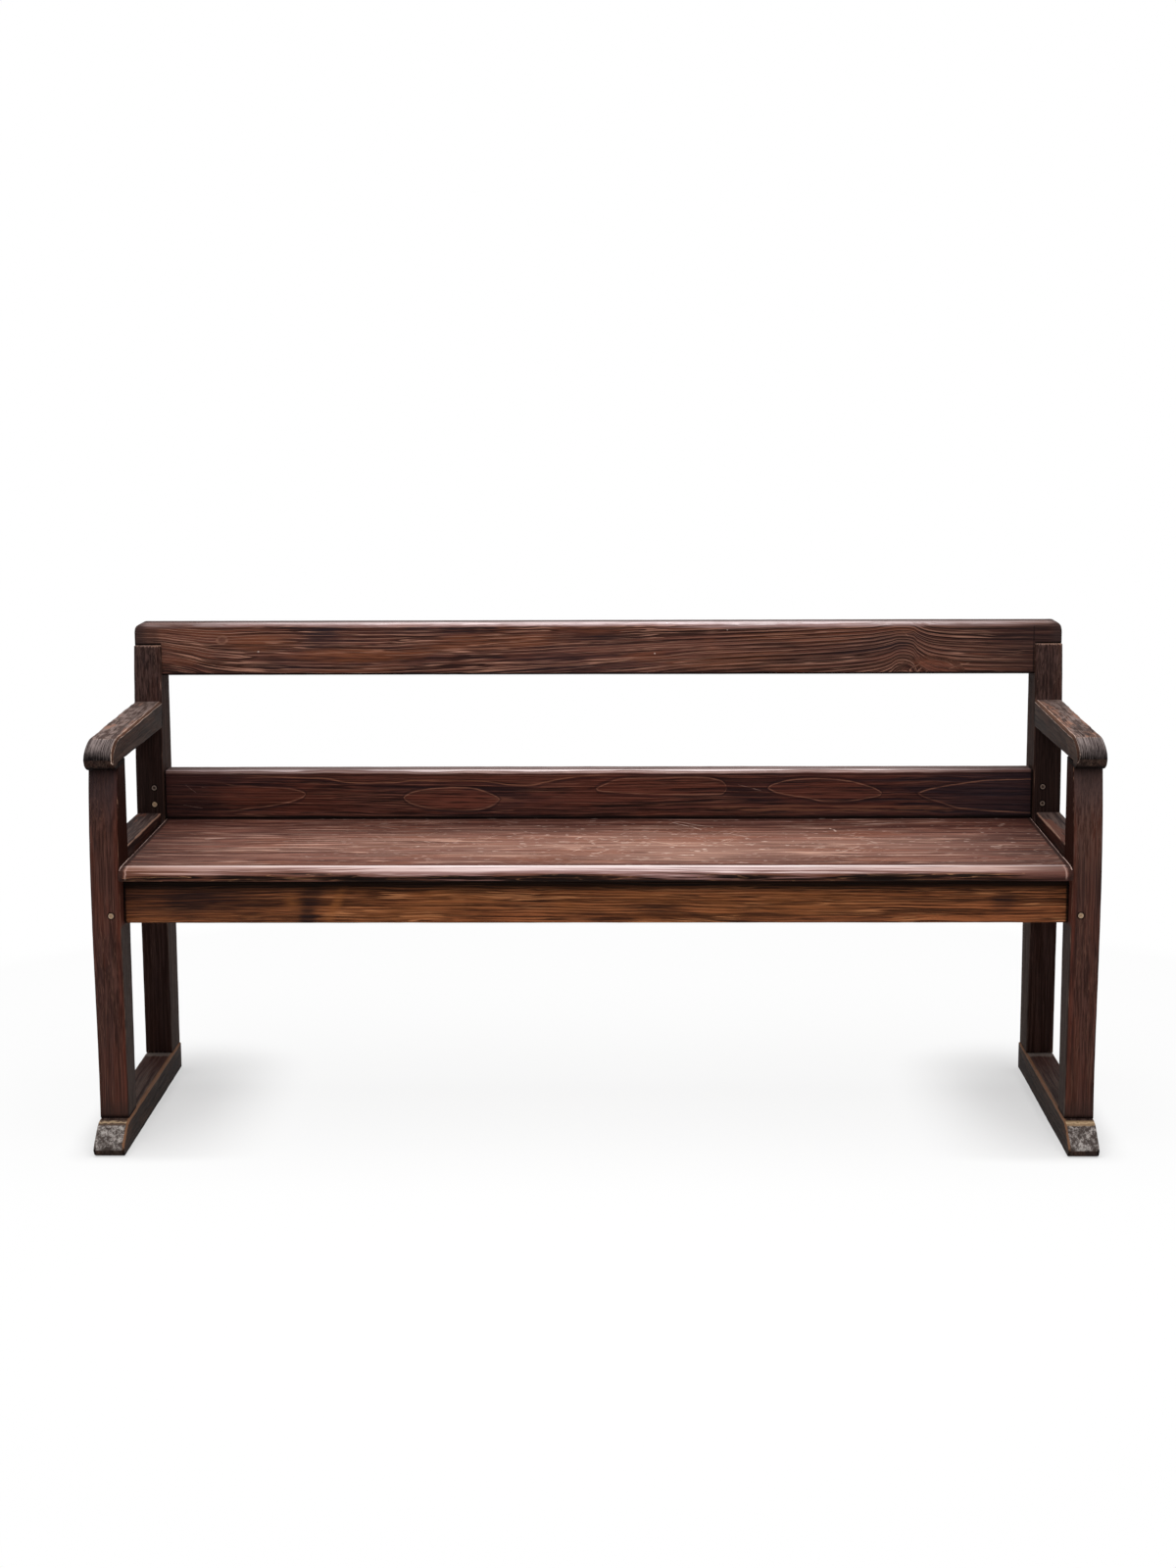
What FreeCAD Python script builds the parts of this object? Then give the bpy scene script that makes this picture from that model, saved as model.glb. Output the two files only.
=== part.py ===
import FreeCAD, Part
import math
import os
from FreeCAD import Vector

# A deacon's bench: two shaped end frames, joined by a seat, two seat rails and two back rails.
# Millimetres. X runs along the bench, Y from the front to the rear and Z up from the floor.
# The origin is on the floor, in the middle of the length and halfway between toe and heel.

# Overall sizes
bench_length = 1537.0
bench_height = 774.0
foot_length = 521.0
frame_thickness = 45.0       # feet, posts and armrests, measured along the bench

# Feet
foot_height = 45.0
toe_reach = 49.0             # toe ahead of the front post's datum face
toe_slope = 35.0             # degrees
toe_nose_radius = 11.0
toe_crown_radius = 40.0

# Posts. A front face is bowed: set back at the foot and at the top, and proud at the belly
front_post_depth = 70.0
rear_post_depth = 80.0
belly_height = 465.0
front_foot_setback = 9.0
front_belly_reach = 3.5
front_top_setback = 13.0
rear_foot_setback = 4.0
rear_belly_reach = 6.0
rear_top_setback = 12.0

# Armrests
arm_underside_height = 602.0
arm_rear_thickness = 45.0
arm_front_thickness = 36.5
arm_nose_reach = 24.0        # nose ahead of the front post's datum face
arm_nose_drop = 9.0          # lip of the nose below the underside
arm_nose_run = 46.0          # length over which the top rolls down to the nose

# Seat board
seat_front_height = 444.0
seat_front_thickness = 20.0
seat_rear_rise = 4.0         # the top is worn lower towards the front
nosing_reach = 27.0          # nosing ahead of the front post's datum face
nosing_run = 35.0            # width of the rolled front edge
nosing_corner_radius = 9.0
seat_end_step = 2.0          # the board is narrower behind the front posts

# Seat rails and bearers
seat_rail_height = 72.0
apron_thickness = 30.0
apron_setback = 20.0         # apron's face behind the front post's datum face
rear_seat_rail_thickness = 28.0
rear_seat_rail_inset = 34.0  # rail's back ahead of the rear post's back
bearer_width = 45.0
bearer_height = 40.0
bearer_spacing = 480.0
bearer_count = 3

# Side rails
side_rail_width = 40.0
side_rail_height = 85.0
side_rail_top = 460.0

# Back rails
lower_rail_height = 81.5
lower_rail_thickness = 45.0
lower_rail_setback = 6.0     # rail's face behind the rear post's datum face
crest_height = 85.0
crest_thickness = 60.0
crest_setback = 15.0
crest_ear_height = 35.0      # what lies over each post
crest_end_inset = 1.0
crest_corner_radius = 11.0
crest_top_radius = 6.0
lower_rail_top_radius = 5.0

# Joints
tenon_thickness = 15.0
rail_tenon_thickness = 12.0
foot_tenon_width = 40.0
foot_tenon_length = 30.0
arm_post_tenon_width = 35.0
arm_post_tenon_length = 22.0
arm_rear_tenon_length = 35.0
side_rail_tenon_length = 22.0
long_rail_tenon_length = 32.0
crest_tenon_width = 32.0
crest_tenon_length = 24.0
bearer_tenon_width = 20.0
bearer_tenon_length = 10.0
tenon_shoulder = 10.0
tenon_gap = 0.2              # around each tenon's cheeks
tenon_end_gap = 1.0          # ahead of each tenon's end
shoulder_gap = 0.2           # at each end of a long rail, and at the ends of the seat
root_length = 12.0           # how far a tenon is carried back into its own piece

# Pegs
peg_diameter = 9.0
peg_gap = 0.1                # all round a peg in its hole
peg_proud = 0.8
peg_inset = 15.0             # a peg's axis from the shoulder of the tenon that it holds
back_peg_spacing = 28.0
apron_peg_rise = 16.0        # above the lower edge of the rail
peg_cover = 4.0              # wood left past the end of a peg

# Screws that hold the seat board to its bearers
screw_diameter = 5.0
screw_head_diameter = 10.0
screw_head_height = 3.5
screw_sink = 6.0             # head below the bearer's lower face
screw_cover = 7.0            # wood left above the screw's point
screw_gap = 0.1
screw_end_distance = 80.0    # from each end of a bearer

# Softened edges
post_arris = 2.5
arm_arris = 4.0
foot_arris = 3.0
rail_arris = 2.0

# Places worked out from the sizes above
outer_x = bench_length / 2
inner_x = outer_x - frame_thickness
middle_x = (outer_x + inner_x) / 2
toe_y = -foot_length / 2
front_y = toe_y + toe_reach
front_post_back = front_y + front_post_depth
heel_y = foot_length / 2
rear_y = heel_y - rear_post_depth
seat_underside = seat_front_height - seat_front_thickness
seat_rear_height = seat_front_height + seat_rear_rise
seat_rail_bottom = seat_underside - seat_rail_height
apron_front = front_y + apron_setback
apron_back = apron_front + apron_thickness
rear_seat_rail_back = heel_y - rear_seat_rail_inset
rear_seat_rail_front = rear_seat_rail_back - rear_seat_rail_thickness
lower_rail_front = rear_y + lower_rail_setback
lower_rail_back = lower_rail_front + lower_rail_thickness
lower_rail_top = seat_rear_height + lower_rail_height
crest_front = rear_y + crest_setback
crest_back = crest_front + crest_thickness
post_top = bench_height - crest_ear_height
crest_bottom = bench_height - crest_height
side_rail_inner_x = outer_x - side_rail_width
side_rail_bottom = side_rail_top - side_rail_height
rail_end_x = inner_x - shoulder_gap
peg_x = inner_x + peg_inset
bearer_bottom = seat_underside - bearer_height
bearer_xs = [bearer_spacing * (i - (bearer_count - 1) / 2) for i in range(bearer_count)]
bearer_names = ["seat_bearer_%d" % (i + 1) for i in range(bearer_count)]


def span(centre, width):
    return (centre - width / 2, centre + width / 2)


def grown(limits, gap):
    return (limits[0] - gap, limits[1] + gap)


def block(x, y, z):
    """A block between two limits on each axis."""
    return Part.makeBox(x[1] - x[0], y[1] - y[0], z[1] - z[0], Vector(x[0], y[0], z[0]))


def across(edges, x):
    """The area inside a closed outline in the YZ plane, carried along X between two limits."""
    face = Part.Face(Part.Wire(edges))
    solid = face.extrude(Vector(x[1] - x[0], 0, 0))
    solid.translate(Vector(x[0], 0, 0))
    return solid


def outline_edges(points, closed=True):
    """Straight edges through points given as (y, z)."""
    corners = [Vector(0, y, z) for y, z in points]
    if closed:
        corners.append(corners[0])
    return [Part.makeLine(a, b) for a, b in zip(corners, corners[1:])]


def smooth_edge(points, start=None, end=None):
    """One smooth curve through points given as (y, z), with optional directions at its ends."""
    curve = Part.BSplineCurve()
    places = [Vector(0, y, z) for y, z in points]
    if start:
        curve.interpolate(Points=places, InitialTangent=Vector(0, *start), FinalTangent=Vector(0, *end))
    else:
        curve.interpolate(Points=places)
    return curve.toShape()


def rounded(solid, radius, wanted):
    """The solid with the chosen edges rounded."""
    return solid.makeFillet(radius, [edge for edge in solid.Edges if wanted(edge)])


def is_long(edge, axis, least):
    return getattr(edge.BoundBox, axis + "Length") > least


def lies_at(edge, axis, place):
    low, high = getattr(edge.BoundBox, axis + "Min"), getattr(edge.BoundBox, axis + "Max")
    return math.isclose(low, place, abs_tol=0.01) and math.isclose(high, place, abs_tol=0.01)


def mirrored(solid):
    """The same piece at the other end of the bench."""
    return solid.mirror(Vector(0, 0, 0), Vector(1, 0, 0))


def both_ends(solid):
    return [solid, mirrored(solid)]


def tenon(x, y, z, axis, side):
    """A tenon's limits, with the axis that it points along and the side of its end, 1 or -1."""
    return {"X": x, "Y": y, "Z": z, "axis": axis, "side": side}


def tenon_block(joint, gap=0.0, end_gap=0.0):
    limits = {axis: grown(joint[axis], gap) for axis in "XYZ"}
    low, high = joint[joint["axis"]]
    if joint["side"] > 0:
        limits[joint["axis"]] = (low - root_length, high + end_gap)
    else:
        limits[joint["axis"]] = (low - end_gap, high + root_length)
    return block(limits["X"], limits["Y"], limits["Z"])


def mortise_block(joint):
    return tenon_block(joint, tenon_gap, tenon_end_gap)


def round_bar(start, direction, length, diameter):
    return Part.makeCylinder(diameter / 2, length, Vector(*start), Vector(*direction))


# Joints of the right-hand end; the left-hand end mirrors them
front_foot_tenon = tenon(
    span(middle_x, tenon_thickness),
    (front_post_back - tenon_shoulder - foot_tenon_width, front_post_back - tenon_shoulder),
    (foot_height - foot_tenon_length, foot_height), "Z", -1)
rear_foot_tenon = tenon(
    span(middle_x, tenon_thickness),
    (heel_y - 2 * tenon_shoulder - foot_tenon_width, heel_y - 2 * tenon_shoulder),
    (foot_height - foot_tenon_length, foot_height), "Z", -1)
arm_post_tenon = tenon(
    span(middle_x, tenon_thickness),
    (front_post_back - tenon_shoulder - arm_post_tenon_width, front_post_back - tenon_shoulder),
    (arm_underside_height, arm_underside_height + arm_post_tenon_length), "Z", 1)
arm_rear_tenon = tenon(
    span(middle_x, tenon_thickness),
    (rear_y, rear_y + arm_rear_tenon_length),
    (arm_underside_height + tenon_shoulder, arm_underside_height + arm_rear_thickness - tenon_shoulder),
    "Y", 1)
side_rail_mid_x = (outer_x + side_rail_inner_x) / 2
side_rail_tenon_z = grown((side_rail_bottom, side_rail_top), -tenon_shoulder)
side_rail_front_tenon = tenon(
    span(side_rail_mid_x, tenon_thickness),
    (front_post_back - side_rail_tenon_length, front_post_back), side_rail_tenon_z, "Y", -1)
side_rail_rear_tenon = tenon(
    span(side_rail_mid_x, tenon_thickness),
    (rear_y, rear_y + side_rail_tenon_length), side_rail_tenon_z, "Y", 1)
long_tenon_x = (inner_x, inner_x + long_rail_tenon_length)
seat_rail_tenon_z = (seat_rail_bottom + tenon_shoulder / 2, seat_underside - tenon_shoulder)
apron_tenon = tenon(
    long_tenon_x, span((apron_front + apron_back) / 2, rail_tenon_thickness),
    seat_rail_tenon_z, "X", 1)
rear_seat_rail_tenon = tenon(
    long_tenon_x, span((rear_seat_rail_front + rear_seat_rail_back) / 2, rail_tenon_thickness),
    seat_rail_tenon_z, "X", 1)
lower_rail_tenon = tenon(
    long_tenon_x, span((lower_rail_front + lower_rail_back) / 2, tenon_thickness),
    grown((seat_rear_height, lower_rail_top), -tenon_shoulder), "X", 1)
crest_tenon = tenon(
    span(middle_x, tenon_thickness), span((crest_front + crest_back) / 2, crest_tenon_width),
    (post_top, post_top + crest_tenon_length), "Z", 1)


def middle_of(joint, axis):
    return sum(joint[axis]) / 2


def bearer_tenons(x):
    width = span(x, bearer_tenon_width)
    height = grown((bearer_bottom, seat_underside), -tenon_shoulder)
    return [tenon(width, (apron_back - bearer_tenon_length, apron_back), height, "Y", -1),
            tenon(width, (rear_seat_rail_front, rear_seat_rail_front + bearer_tenon_length),
                  height, "Y", 1)]


def bowed_post(datum, back, bottom, top, foot_setback, belly_reach, top_setback, spare):
    """A sharp-edged post with a straight back and a bowed front face, wider by a spare each side."""
    low_y, belly_y, top_y = datum + foot_setback, datum - belly_reach, datum + top_setback
    waist = ((low_y + belly_y) / 2, (bottom + belly_height) / 2)
    front = smooth_edge([(low_y, bottom), waist, (belly_y, belly_height), (top_y, top)])
    rest = outline_edges([(top_y, top), (back, top), (back, bottom), (low_y, bottom)], closed=False)
    return across([front] + rest, grown((inner_x, outer_x), spare))


def front_post_blank(spare=0.0):
    return bowed_post(front_y, front_post_back, foot_height, arm_underside_height,
                      front_foot_setback, front_belly_reach, front_top_setback, spare)


def rear_post_blank(spare=0.0):
    return bowed_post(rear_y, heel_y, foot_height, post_top,
                      rear_foot_setback, rear_belly_reach, rear_top_setback, spare)


def face_y(post, x, z):
    """Where the front face of a post lies at a given place."""
    sight = Part.makeLine(Vector(x, toe_y, z), Vector(x, heel_y, z))
    return sight.common(post).BoundBox.YMin


# Pegs of the right-hand end, each as (start, direction, length), its start in the wood's face
low_back_peg_z = (seat_rear_height + lower_rail_top) / 2 - back_peg_spacing / 2
seat_rail_peg_z = seat_rail_bottom + apron_peg_rise
back_peg_end = lower_rail_back + tenon_shoulder
side_peg_depth = frame_thickness - 2 * peg_cover


def front_pegs(post, heights, end_y):
    """Pegs driven through the bowed face of a post as far as a given depth."""
    faces = [(z, face_y(post, peg_x, z)) for z in heights]
    return [((peg_x, y, z), (0, 1, 0), end_y - y) for z, y in faces]


def side_pegs(joints):
    """Pegs driven in from the outer side, through the middle of each tenon."""
    return [((outer_x, middle_of(joint, "Y"), middle_of(joint, "Z")), (-1, 0, 0), side_peg_depth)
            for joint in joints]


back_rail_peg_places = front_pegs(
    rear_post_blank(), [low_back_peg_z + i * back_peg_spacing for i in range(2)], back_peg_end)
apron_peg_places = front_pegs(front_post_blank(), [seat_rail_peg_z], apron_back - peg_cover)
flush_heel_y = heel_y - peg_proud
rear_rail_peg_places = [
    ((peg_x, flush_heel_y, seat_rail_peg_z), (0, -1, 0), flush_heel_y - rear_seat_rail_front)]
crest_peg_places = [
    ((middle_x, crest_back, post_top + crest_tenon_length / 2), (0, -1, 0), crest_thickness - 2 * peg_cover)]
side_rail_peg_places = side_pegs([side_rail_front_tenon, side_rail_rear_tenon])
armrest_peg_places = side_pegs([arm_post_tenon, arm_rear_tenon])
foot_peg_places = side_pegs([front_foot_tenon, rear_foot_tenon])


def peg(place):
    """A peg with a domed head that stands a little proud of the face."""
    start, direction, length = place
    head = [s - d * peg_proud for s, d in zip(start, direction)]
    bar = round_bar(head, direction, length + peg_proud, peg_diameter)
    return rounded(bar, peg_proud, lambda edge: abs(edge.CenterOfMass.distanceToPoint(Vector(*head))) < 0.01)


def peg_hole(place):
    start, direction, length = place
    mouth = [s - d * root_length for s, d in zip(start, direction)]
    return round_bar(mouth, direction, length + root_length + peg_gap, peg_diameter + 2 * peg_gap)


def fitted(solid, tenons=(), mortises=(), pegs=()):
    """The piece with its own tenons added, and its mortises and peg holes cut."""
    if tenons:
        solid = solid.fuse([tenon_block(joint) for joint in tenons])
    cuts = [mortise_block(joint) for joint in mortises] + [peg_hole(place) for place in pegs]
    if cuts:
        solid = solid.cut(cuts)
    return solid.removeSplitter()


def front_post():
    post = rounded(front_post_blank(), post_arris, lambda edge: is_long(edge, "Z", foot_height))
    return fitted(post, [front_foot_tenon, arm_post_tenon], [side_rail_front_tenon, apron_tenon],
                  apron_peg_places + side_rail_peg_places + armrest_peg_places + foot_peg_places)


def rear_post():
    post = rounded(rear_post_blank(), post_arris, lambda edge: is_long(edge, "Z", foot_height))
    mortises = [side_rail_rear_tenon, arm_rear_tenon, rear_seat_rail_tenon, lower_rail_tenon]
    pegs = (back_rail_peg_places + rear_rail_peg_places + side_rail_peg_places + armrest_peg_places
            + foot_peg_places + crest_peg_places)
    return fitted(post, [rear_foot_tenon, crest_tenon], mortises, pegs)


def toe_edges():
    """The front of a foot, from its top face down a sloping toe and round the nose to the floor."""
    slope = math.radians(toe_slope)
    nose = Vector(0, toe_y + toe_nose_radius, toe_nose_radius)
    normal = Vector(0, -math.sin(slope), math.cos(slope))
    nose_top = nose + normal * toe_nose_radius
    rise = foot_height - nose_top.z
    corner_y = nose_top.y + rise / math.tan(slope)
    turn = toe_crown_radius * math.tan(slope / 2)
    crown = Vector(0, corner_y + turn, foot_height - toe_crown_radius)
    crown_start = Vector(0, crown.y, foot_height)
    crown_end = crown + normal * toe_crown_radius
    half = Vector(0, -math.sin(slope / 2), math.cos(slope / 2))
    tip = Vector(0, toe_y, toe_nose_radius)
    base = Vector(0, nose.y, 0)
    return crown_start, base, [
        Part.Arc(crown_start, crown + half * toe_crown_radius, crown_end).toShape(),
        Part.makeLine(crown_end, nose_top),
        Part.Arc(nose_top, tip, base).toShape()]


def foot():
    crown_start, base, toe = toe_edges()
    heel_foot, heel_top = Vector(0, heel_y, 0), Vector(0, heel_y, foot_height)
    rest = [Part.makeLine(base, heel_foot), Part.makeLine(heel_foot, heel_top),
            Part.makeLine(heel_top, crown_start)]
    blank = across(toe + rest, (inner_x, outer_x))
    blank = rounded(blank, foot_arris, lambda edge: not is_long(edge, "X", 1)
                    and edge.BoundBox.YMin < front_y and edge.BoundBox.ZMax > rail_arris)
    return fitted(blank, [], [front_foot_tenon, rear_foot_tenon], foot_peg_places)


def armrest():
    rear_top = arm_underside_height + arm_rear_thickness
    front_top = arm_underside_height + arm_front_thickness
    nose_tip = front_y - arm_nose_reach
    roll_y = nose_tip + arm_nose_run
    lip = arm_underside_height - arm_nose_drop
    roll_height = front_top - lip
    fall = (front_top - rear_top) / (rear_y - roll_y)
    curve = [(roll_y, front_top),
             (nose_tip + 0.24 * arm_nose_run, front_top - 0.25 * roll_height),
             (nose_tip, front_top - 0.6 * roll_height),
             (nose_tip + 0.2 * arm_nose_run, front_top - 0.9 * roll_height),
             (nose_tip + 0.6 * arm_nose_run, lip)]
    nose = smooth_edge(curve, (-1, fall), (1, 0))
    back_y = front_post_back - tenon_shoulder
    rest = outline_edges([curve[-1], (back_y, lip), (back_y, arm_underside_height),
                          (rear_y + root_length, arm_underside_height),
                          (rear_y + root_length, rear_top - fall * root_length),
                          curve[0]], closed=False)
    blank = across([nose] + rest, (inner_x, outer_x))
    blank = rounded(blank, arm_arris, lambda edge: not is_long(edge, "X", 1)
                    and edge.BoundBox.ZMax > arm_underside_height + 1
                    and edge.BoundBox.YMin < rear_y - 1)
    blank = blank.cut([front_post_blank(root_length), rear_post_blank(root_length)])
    return fitted(blank, [arm_rear_tenon], [arm_post_tenon], armrest_peg_places)


def side_rail():
    blank = block((side_rail_inner_x, outer_x), (front_post_back, rear_y + root_length),
                  (side_rail_bottom, side_rail_top))
    blank = rounded(blank, rail_arris, lambda edge: is_long(edge, "Y", 1))
    blank = blank.cut(rear_post_blank(root_length))
    return fitted(blank, [side_rail_front_tenon, side_rail_rear_tenon], [], side_rail_peg_places)


def long_rail(y, z, joint, pegs, top_radius=rail_arris, mortises=()):
    """A rail between the end frames, with the same tenon at each end."""
    blank = block((-rail_end_x, rail_end_x), y, z)
    blank = rounded(blank, rail_arris, lambda edge: is_long(edge, "X", 1)
                    and not (lies_at(edge, "Y", y[0]) and lies_at(edge, "Z", z[1])))
    blank = rounded(blank, top_radius, lambda edge: is_long(edge, "X", 1)
                    and lies_at(edge, "Y", y[0]) and lies_at(edge, "Z", z[1]))
    blank = blank.fuse(both_ends(tenon_block(joint)))
    cuts = [mortise_block(other) for other in mortises]
    for place in pegs:
        cuts += both_ends(peg_hole(place))
    return blank.cut(cuts).removeSplitter()


def bearer_mortises(side):
    joints = [joint for x in bearer_xs for joint in bearer_tenons(x)]
    return [joint for joint in joints if joint["side"] == side]


def front_apron():
    return long_rail((apron_front, apron_back), (seat_rail_bottom, seat_underside), apron_tenon,
                     apron_peg_places, mortises=bearer_mortises(-1))


def rear_seat_rail():
    return long_rail((rear_seat_rail_front, rear_seat_rail_back), (seat_rail_bottom, seat_underside),
                     rear_seat_rail_tenon, rear_rail_peg_places, mortises=bearer_mortises(1))


def lower_back_rail():
    return long_rail((lower_rail_front, lower_rail_back), (seat_rear_height, lower_rail_top),
                     lower_rail_tenon, back_rail_peg_places, top_radius=lower_rail_top_radius)


def crest_rail():
    """A rail with an ear over each rear post."""
    end_x = outer_x - crest_end_inset
    low = block((-rail_end_x, rail_end_x), (crest_front, crest_back), (crest_bottom, bench_height))
    ears = block((-end_x, end_x), (crest_front, crest_back), (post_top, bench_height))
    rail = low.fuse(ears).removeSplitter()
    rail = rounded(rail, crest_corner_radius, lambda edge: is_long(edge, "Y", 1)
                   and lies_at(edge, "Z", bench_height))
    rail = rounded(rail, crest_top_radius, lambda edge: lies_at(edge, "Y", crest_front)
                   and edge.BoundBox.ZMax > bench_height - crest_corner_radius - 1
                   and edge.BoundBox.ZMin > post_top - 1)
    rail = rounded(rail, rail_arris, lambda edge: is_long(edge, "X", inner_x)
                   and (lies_at(edge, "Z", crest_bottom) or lies_at(edge, "Y", crest_back)))
    return rail.cut(both_ends(mortise_block(crest_tenon))
                    + both_ends(peg_hole(crest_peg_places[0]))).removeSplitter()


def seat_outline():
    """The seat board seen from above: round front corners, and a step behind the front posts."""
    end_x, tip_y = inner_x - shoulder_gap, front_y - nosing_reach
    step_x, step_y = end_x - seat_end_step, front_post_back
    bend = nosing_corner_radius
    half = bend * (1 - math.sqrt(0.5))
    corner = Part.Arc(Vector(end_x - bend, tip_y, 0), Vector(end_x - half, tip_y + half, 0),
                      Vector(end_x, tip_y + bend, 0)).toShape()
    side = [Vector(end_x, tip_y + bend, 0), Vector(end_x, step_y, 0), Vector(step_x, step_y, 0),
            Vector(step_x, rear_seat_rail_back, 0)]
    right = [corner] + [Part.makeLine(a, b) for a, b in zip(side, side[1:])]
    left = [mirrored(edge) for edge in right]
    ends = [Part.makeLine(Vector(-step_x, rear_seat_rail_back, 0), Vector(step_x, rear_seat_rail_back, 0)),
            Part.makeLine(Vector(bend - end_x, tip_y, 0), Vector(end_x - bend, tip_y, 0))]
    wire = Part.Wire(Part.__sortEdges__(right + left + ends))
    outline = Part.Face(wire).extrude(Vector(0, 0, bench_height))
    return outline


def seat_screw_places():
    ys = (apron_back + screw_end_distance, rear_seat_rail_front - screw_end_distance)
    return [(x, y) for x in bearer_xs for y in ys]


def screw(x, y, gap=0.0):
    """A countersunk screw that points up, or its hole when a gap is given."""
    head_z = bearer_bottom + screw_sink
    point_z = seat_front_height - screw_cover
    radius, head_radius = screw_diameter / 2 + gap, screw_head_diameter / 2 + gap
    head = Part.makeCone(head_radius, radius, screw_head_height, Vector(x, y, head_z))
    shank = Part.makeCylinder(radius, point_z - head_z - radius + gap, Vector(x, y, head_z))
    point = Part.makeCone(radius, 0, radius, Vector(x, y, point_z - radius + gap))
    parts = [shank, point]
    if gap:
        parts.append(Part.makeCylinder(head_radius, screw_sink + root_length,
                                       Vector(x, y, head_z - screw_sink - root_length)))
    return head.fuse(parts).removeSplitter()


def seat_board():
    under, top, rise = seat_underside, seat_front_height, seat_front_thickness
    tip_y = front_y - nosing_reach
    curve = [(tip_y + 0.3 * nosing_run, under), (tip_y, under + 0.38 * rise),
             (tip_y + 0.18 * nosing_run, top - 0.26 * rise), (tip_y + nosing_run, top)]
    fall = seat_rear_rise / (lower_rail_front - tip_y - nosing_run)
    nosing = smooth_edge(curve, (-1, 0), (1, fall))
    rest = outline_edges([curve[-1], (lower_rail_front, seat_rear_height),
                          (rear_seat_rail_back, seat_rear_height), (rear_seat_rail_back, under),
                          curve[0]], closed=False)
    board = across([nosing] + rest, (-inner_x, inner_x)).common(seat_outline())
    return board.cut([screw(x, y, screw_gap) for x, y in seat_screw_places()])


def seat_bearer(x):
    blank = block(span(x, bearer_width), (apron_back, rear_seat_rail_front), (bearer_bottom, seat_underside))
    blank = blank.fuse([tenon_block(joint) for joint in bearer_tenons(x)])
    holes = [screw(place_x, y, screw_gap) for place_x, y in seat_screw_places() if place_x == x]
    return blank.cut(holes).removeSplitter()


def at_both_ends(places):
    return Part.makeCompound([end for place in places for end in both_ends(peg(place))])


def pieces():
    """Every sub-part by name."""
    made = {}
    for name, make in (("foot", foot), ("front_post", front_post), ("rear_post", rear_post),
                       ("armrest", armrest), ("side_rail", side_rail)):
        made["right_" + name] = make()
        made["left_" + name] = mirrored(made["right_" + name])
    made["crest_rail"] = crest_rail()
    made["lower_back_rail"] = lower_back_rail()
    made["seat_board"] = seat_board()
    made["front_apron"] = front_apron()
    made["rear_seat_rail"] = rear_seat_rail()
    for name, x in zip(bearer_names, bearer_xs):
        made[name] = seat_bearer(x)
    made["back_rail_pegs"] = at_both_ends(back_rail_peg_places)
    made["apron_pegs"] = at_both_ends(apron_peg_places)
    made["rear_seat_rail_pegs"] = at_both_ends(rear_rail_peg_places)
    made["crest_pegs"] = at_both_ends(crest_peg_places)
    made["side_rail_pegs"] = at_both_ends(side_rail_peg_places)
    made["armrest_pegs"] = at_both_ends(armrest_peg_places)
    made["foot_pegs"] = at_both_ends(foot_peg_places)
    made["seat_screws"] = Part.makeCompound([screw(x, y) for x, y in seat_screw_places()])
    return made


os.makedirs("parts", exist_ok=True)
for name, shape in pieces().items():
    shape.exportStep("parts/" + name + ".step")
    print(name, len(shape.Solids), shape.isValid(), round(shape.Volume))
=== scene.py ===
import math

import bpy
import numpy as np
from mathutils import Matrix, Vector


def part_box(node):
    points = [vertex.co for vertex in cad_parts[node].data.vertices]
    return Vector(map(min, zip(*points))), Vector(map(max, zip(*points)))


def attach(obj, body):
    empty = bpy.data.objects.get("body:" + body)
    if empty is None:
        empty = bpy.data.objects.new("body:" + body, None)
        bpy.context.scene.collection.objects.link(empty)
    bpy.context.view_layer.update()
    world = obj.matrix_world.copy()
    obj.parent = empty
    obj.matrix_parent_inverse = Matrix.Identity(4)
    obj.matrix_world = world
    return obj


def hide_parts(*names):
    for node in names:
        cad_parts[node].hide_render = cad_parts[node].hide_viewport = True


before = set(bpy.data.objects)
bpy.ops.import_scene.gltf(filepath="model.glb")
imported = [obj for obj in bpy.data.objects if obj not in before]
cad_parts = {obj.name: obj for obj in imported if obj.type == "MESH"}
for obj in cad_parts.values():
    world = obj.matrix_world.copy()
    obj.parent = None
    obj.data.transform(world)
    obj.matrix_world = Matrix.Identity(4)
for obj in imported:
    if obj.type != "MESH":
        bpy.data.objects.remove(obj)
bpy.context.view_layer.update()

print("frame loaded:", len(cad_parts), "nodes")

# Camera, worked out from the photograph
view = {
    "place": (0.0526, -4.0881, 1.1999),   # metres
    "pitch": 9.215,                       # degrees below level
    "yaw": 0.9138,                        # degrees to the left
    "roll": -0.226,
    "lens": 59.66,                        # millimetres on a 36 mm side
}


def makeCamera(view):
    # Right, up and back directions: level axes turned by the yaw, then tipped by the pitch, then rolled
    pitch, yaw, roll = (math.radians(view[key]) for key in ("pitch", "yaw", "roll"))
    right = np.array([math.cos(yaw), math.sin(yaw), 0.0])
    ahead = np.array([-math.sin(yaw), math.cos(yaw), 0.0])
    level = np.array([0.0, 0.0, 1.0])
    forward = math.cos(pitch) * ahead - math.sin(pitch) * level
    up = math.sin(pitch) * ahead + math.cos(pitch) * level
    side = math.cos(roll) * right + math.sin(roll) * up
    top = -math.sin(roll) * right + math.cos(roll) * up
    camera = bpy.data.objects.new("camera", bpy.data.cameras.new("camera"))
    camera.data.lens = view["lens"]
    camera.data.sensor_width = 36
    turn = np.eye(4)
    turn[:3, 0], turn[:3, 1], turn[:3, 2], turn[:3, 3] = side, top, -forward, view["place"]
    camera.matrix_world = Matrix(turn.tolist())
    bpy.context.scene.collection.objects.link(camera)
    bpy.context.scene.camera = camera


makeCamera(view)
bpy.context.scene.view_settings.view_transform = "Standard"
print("camera placed")


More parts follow.
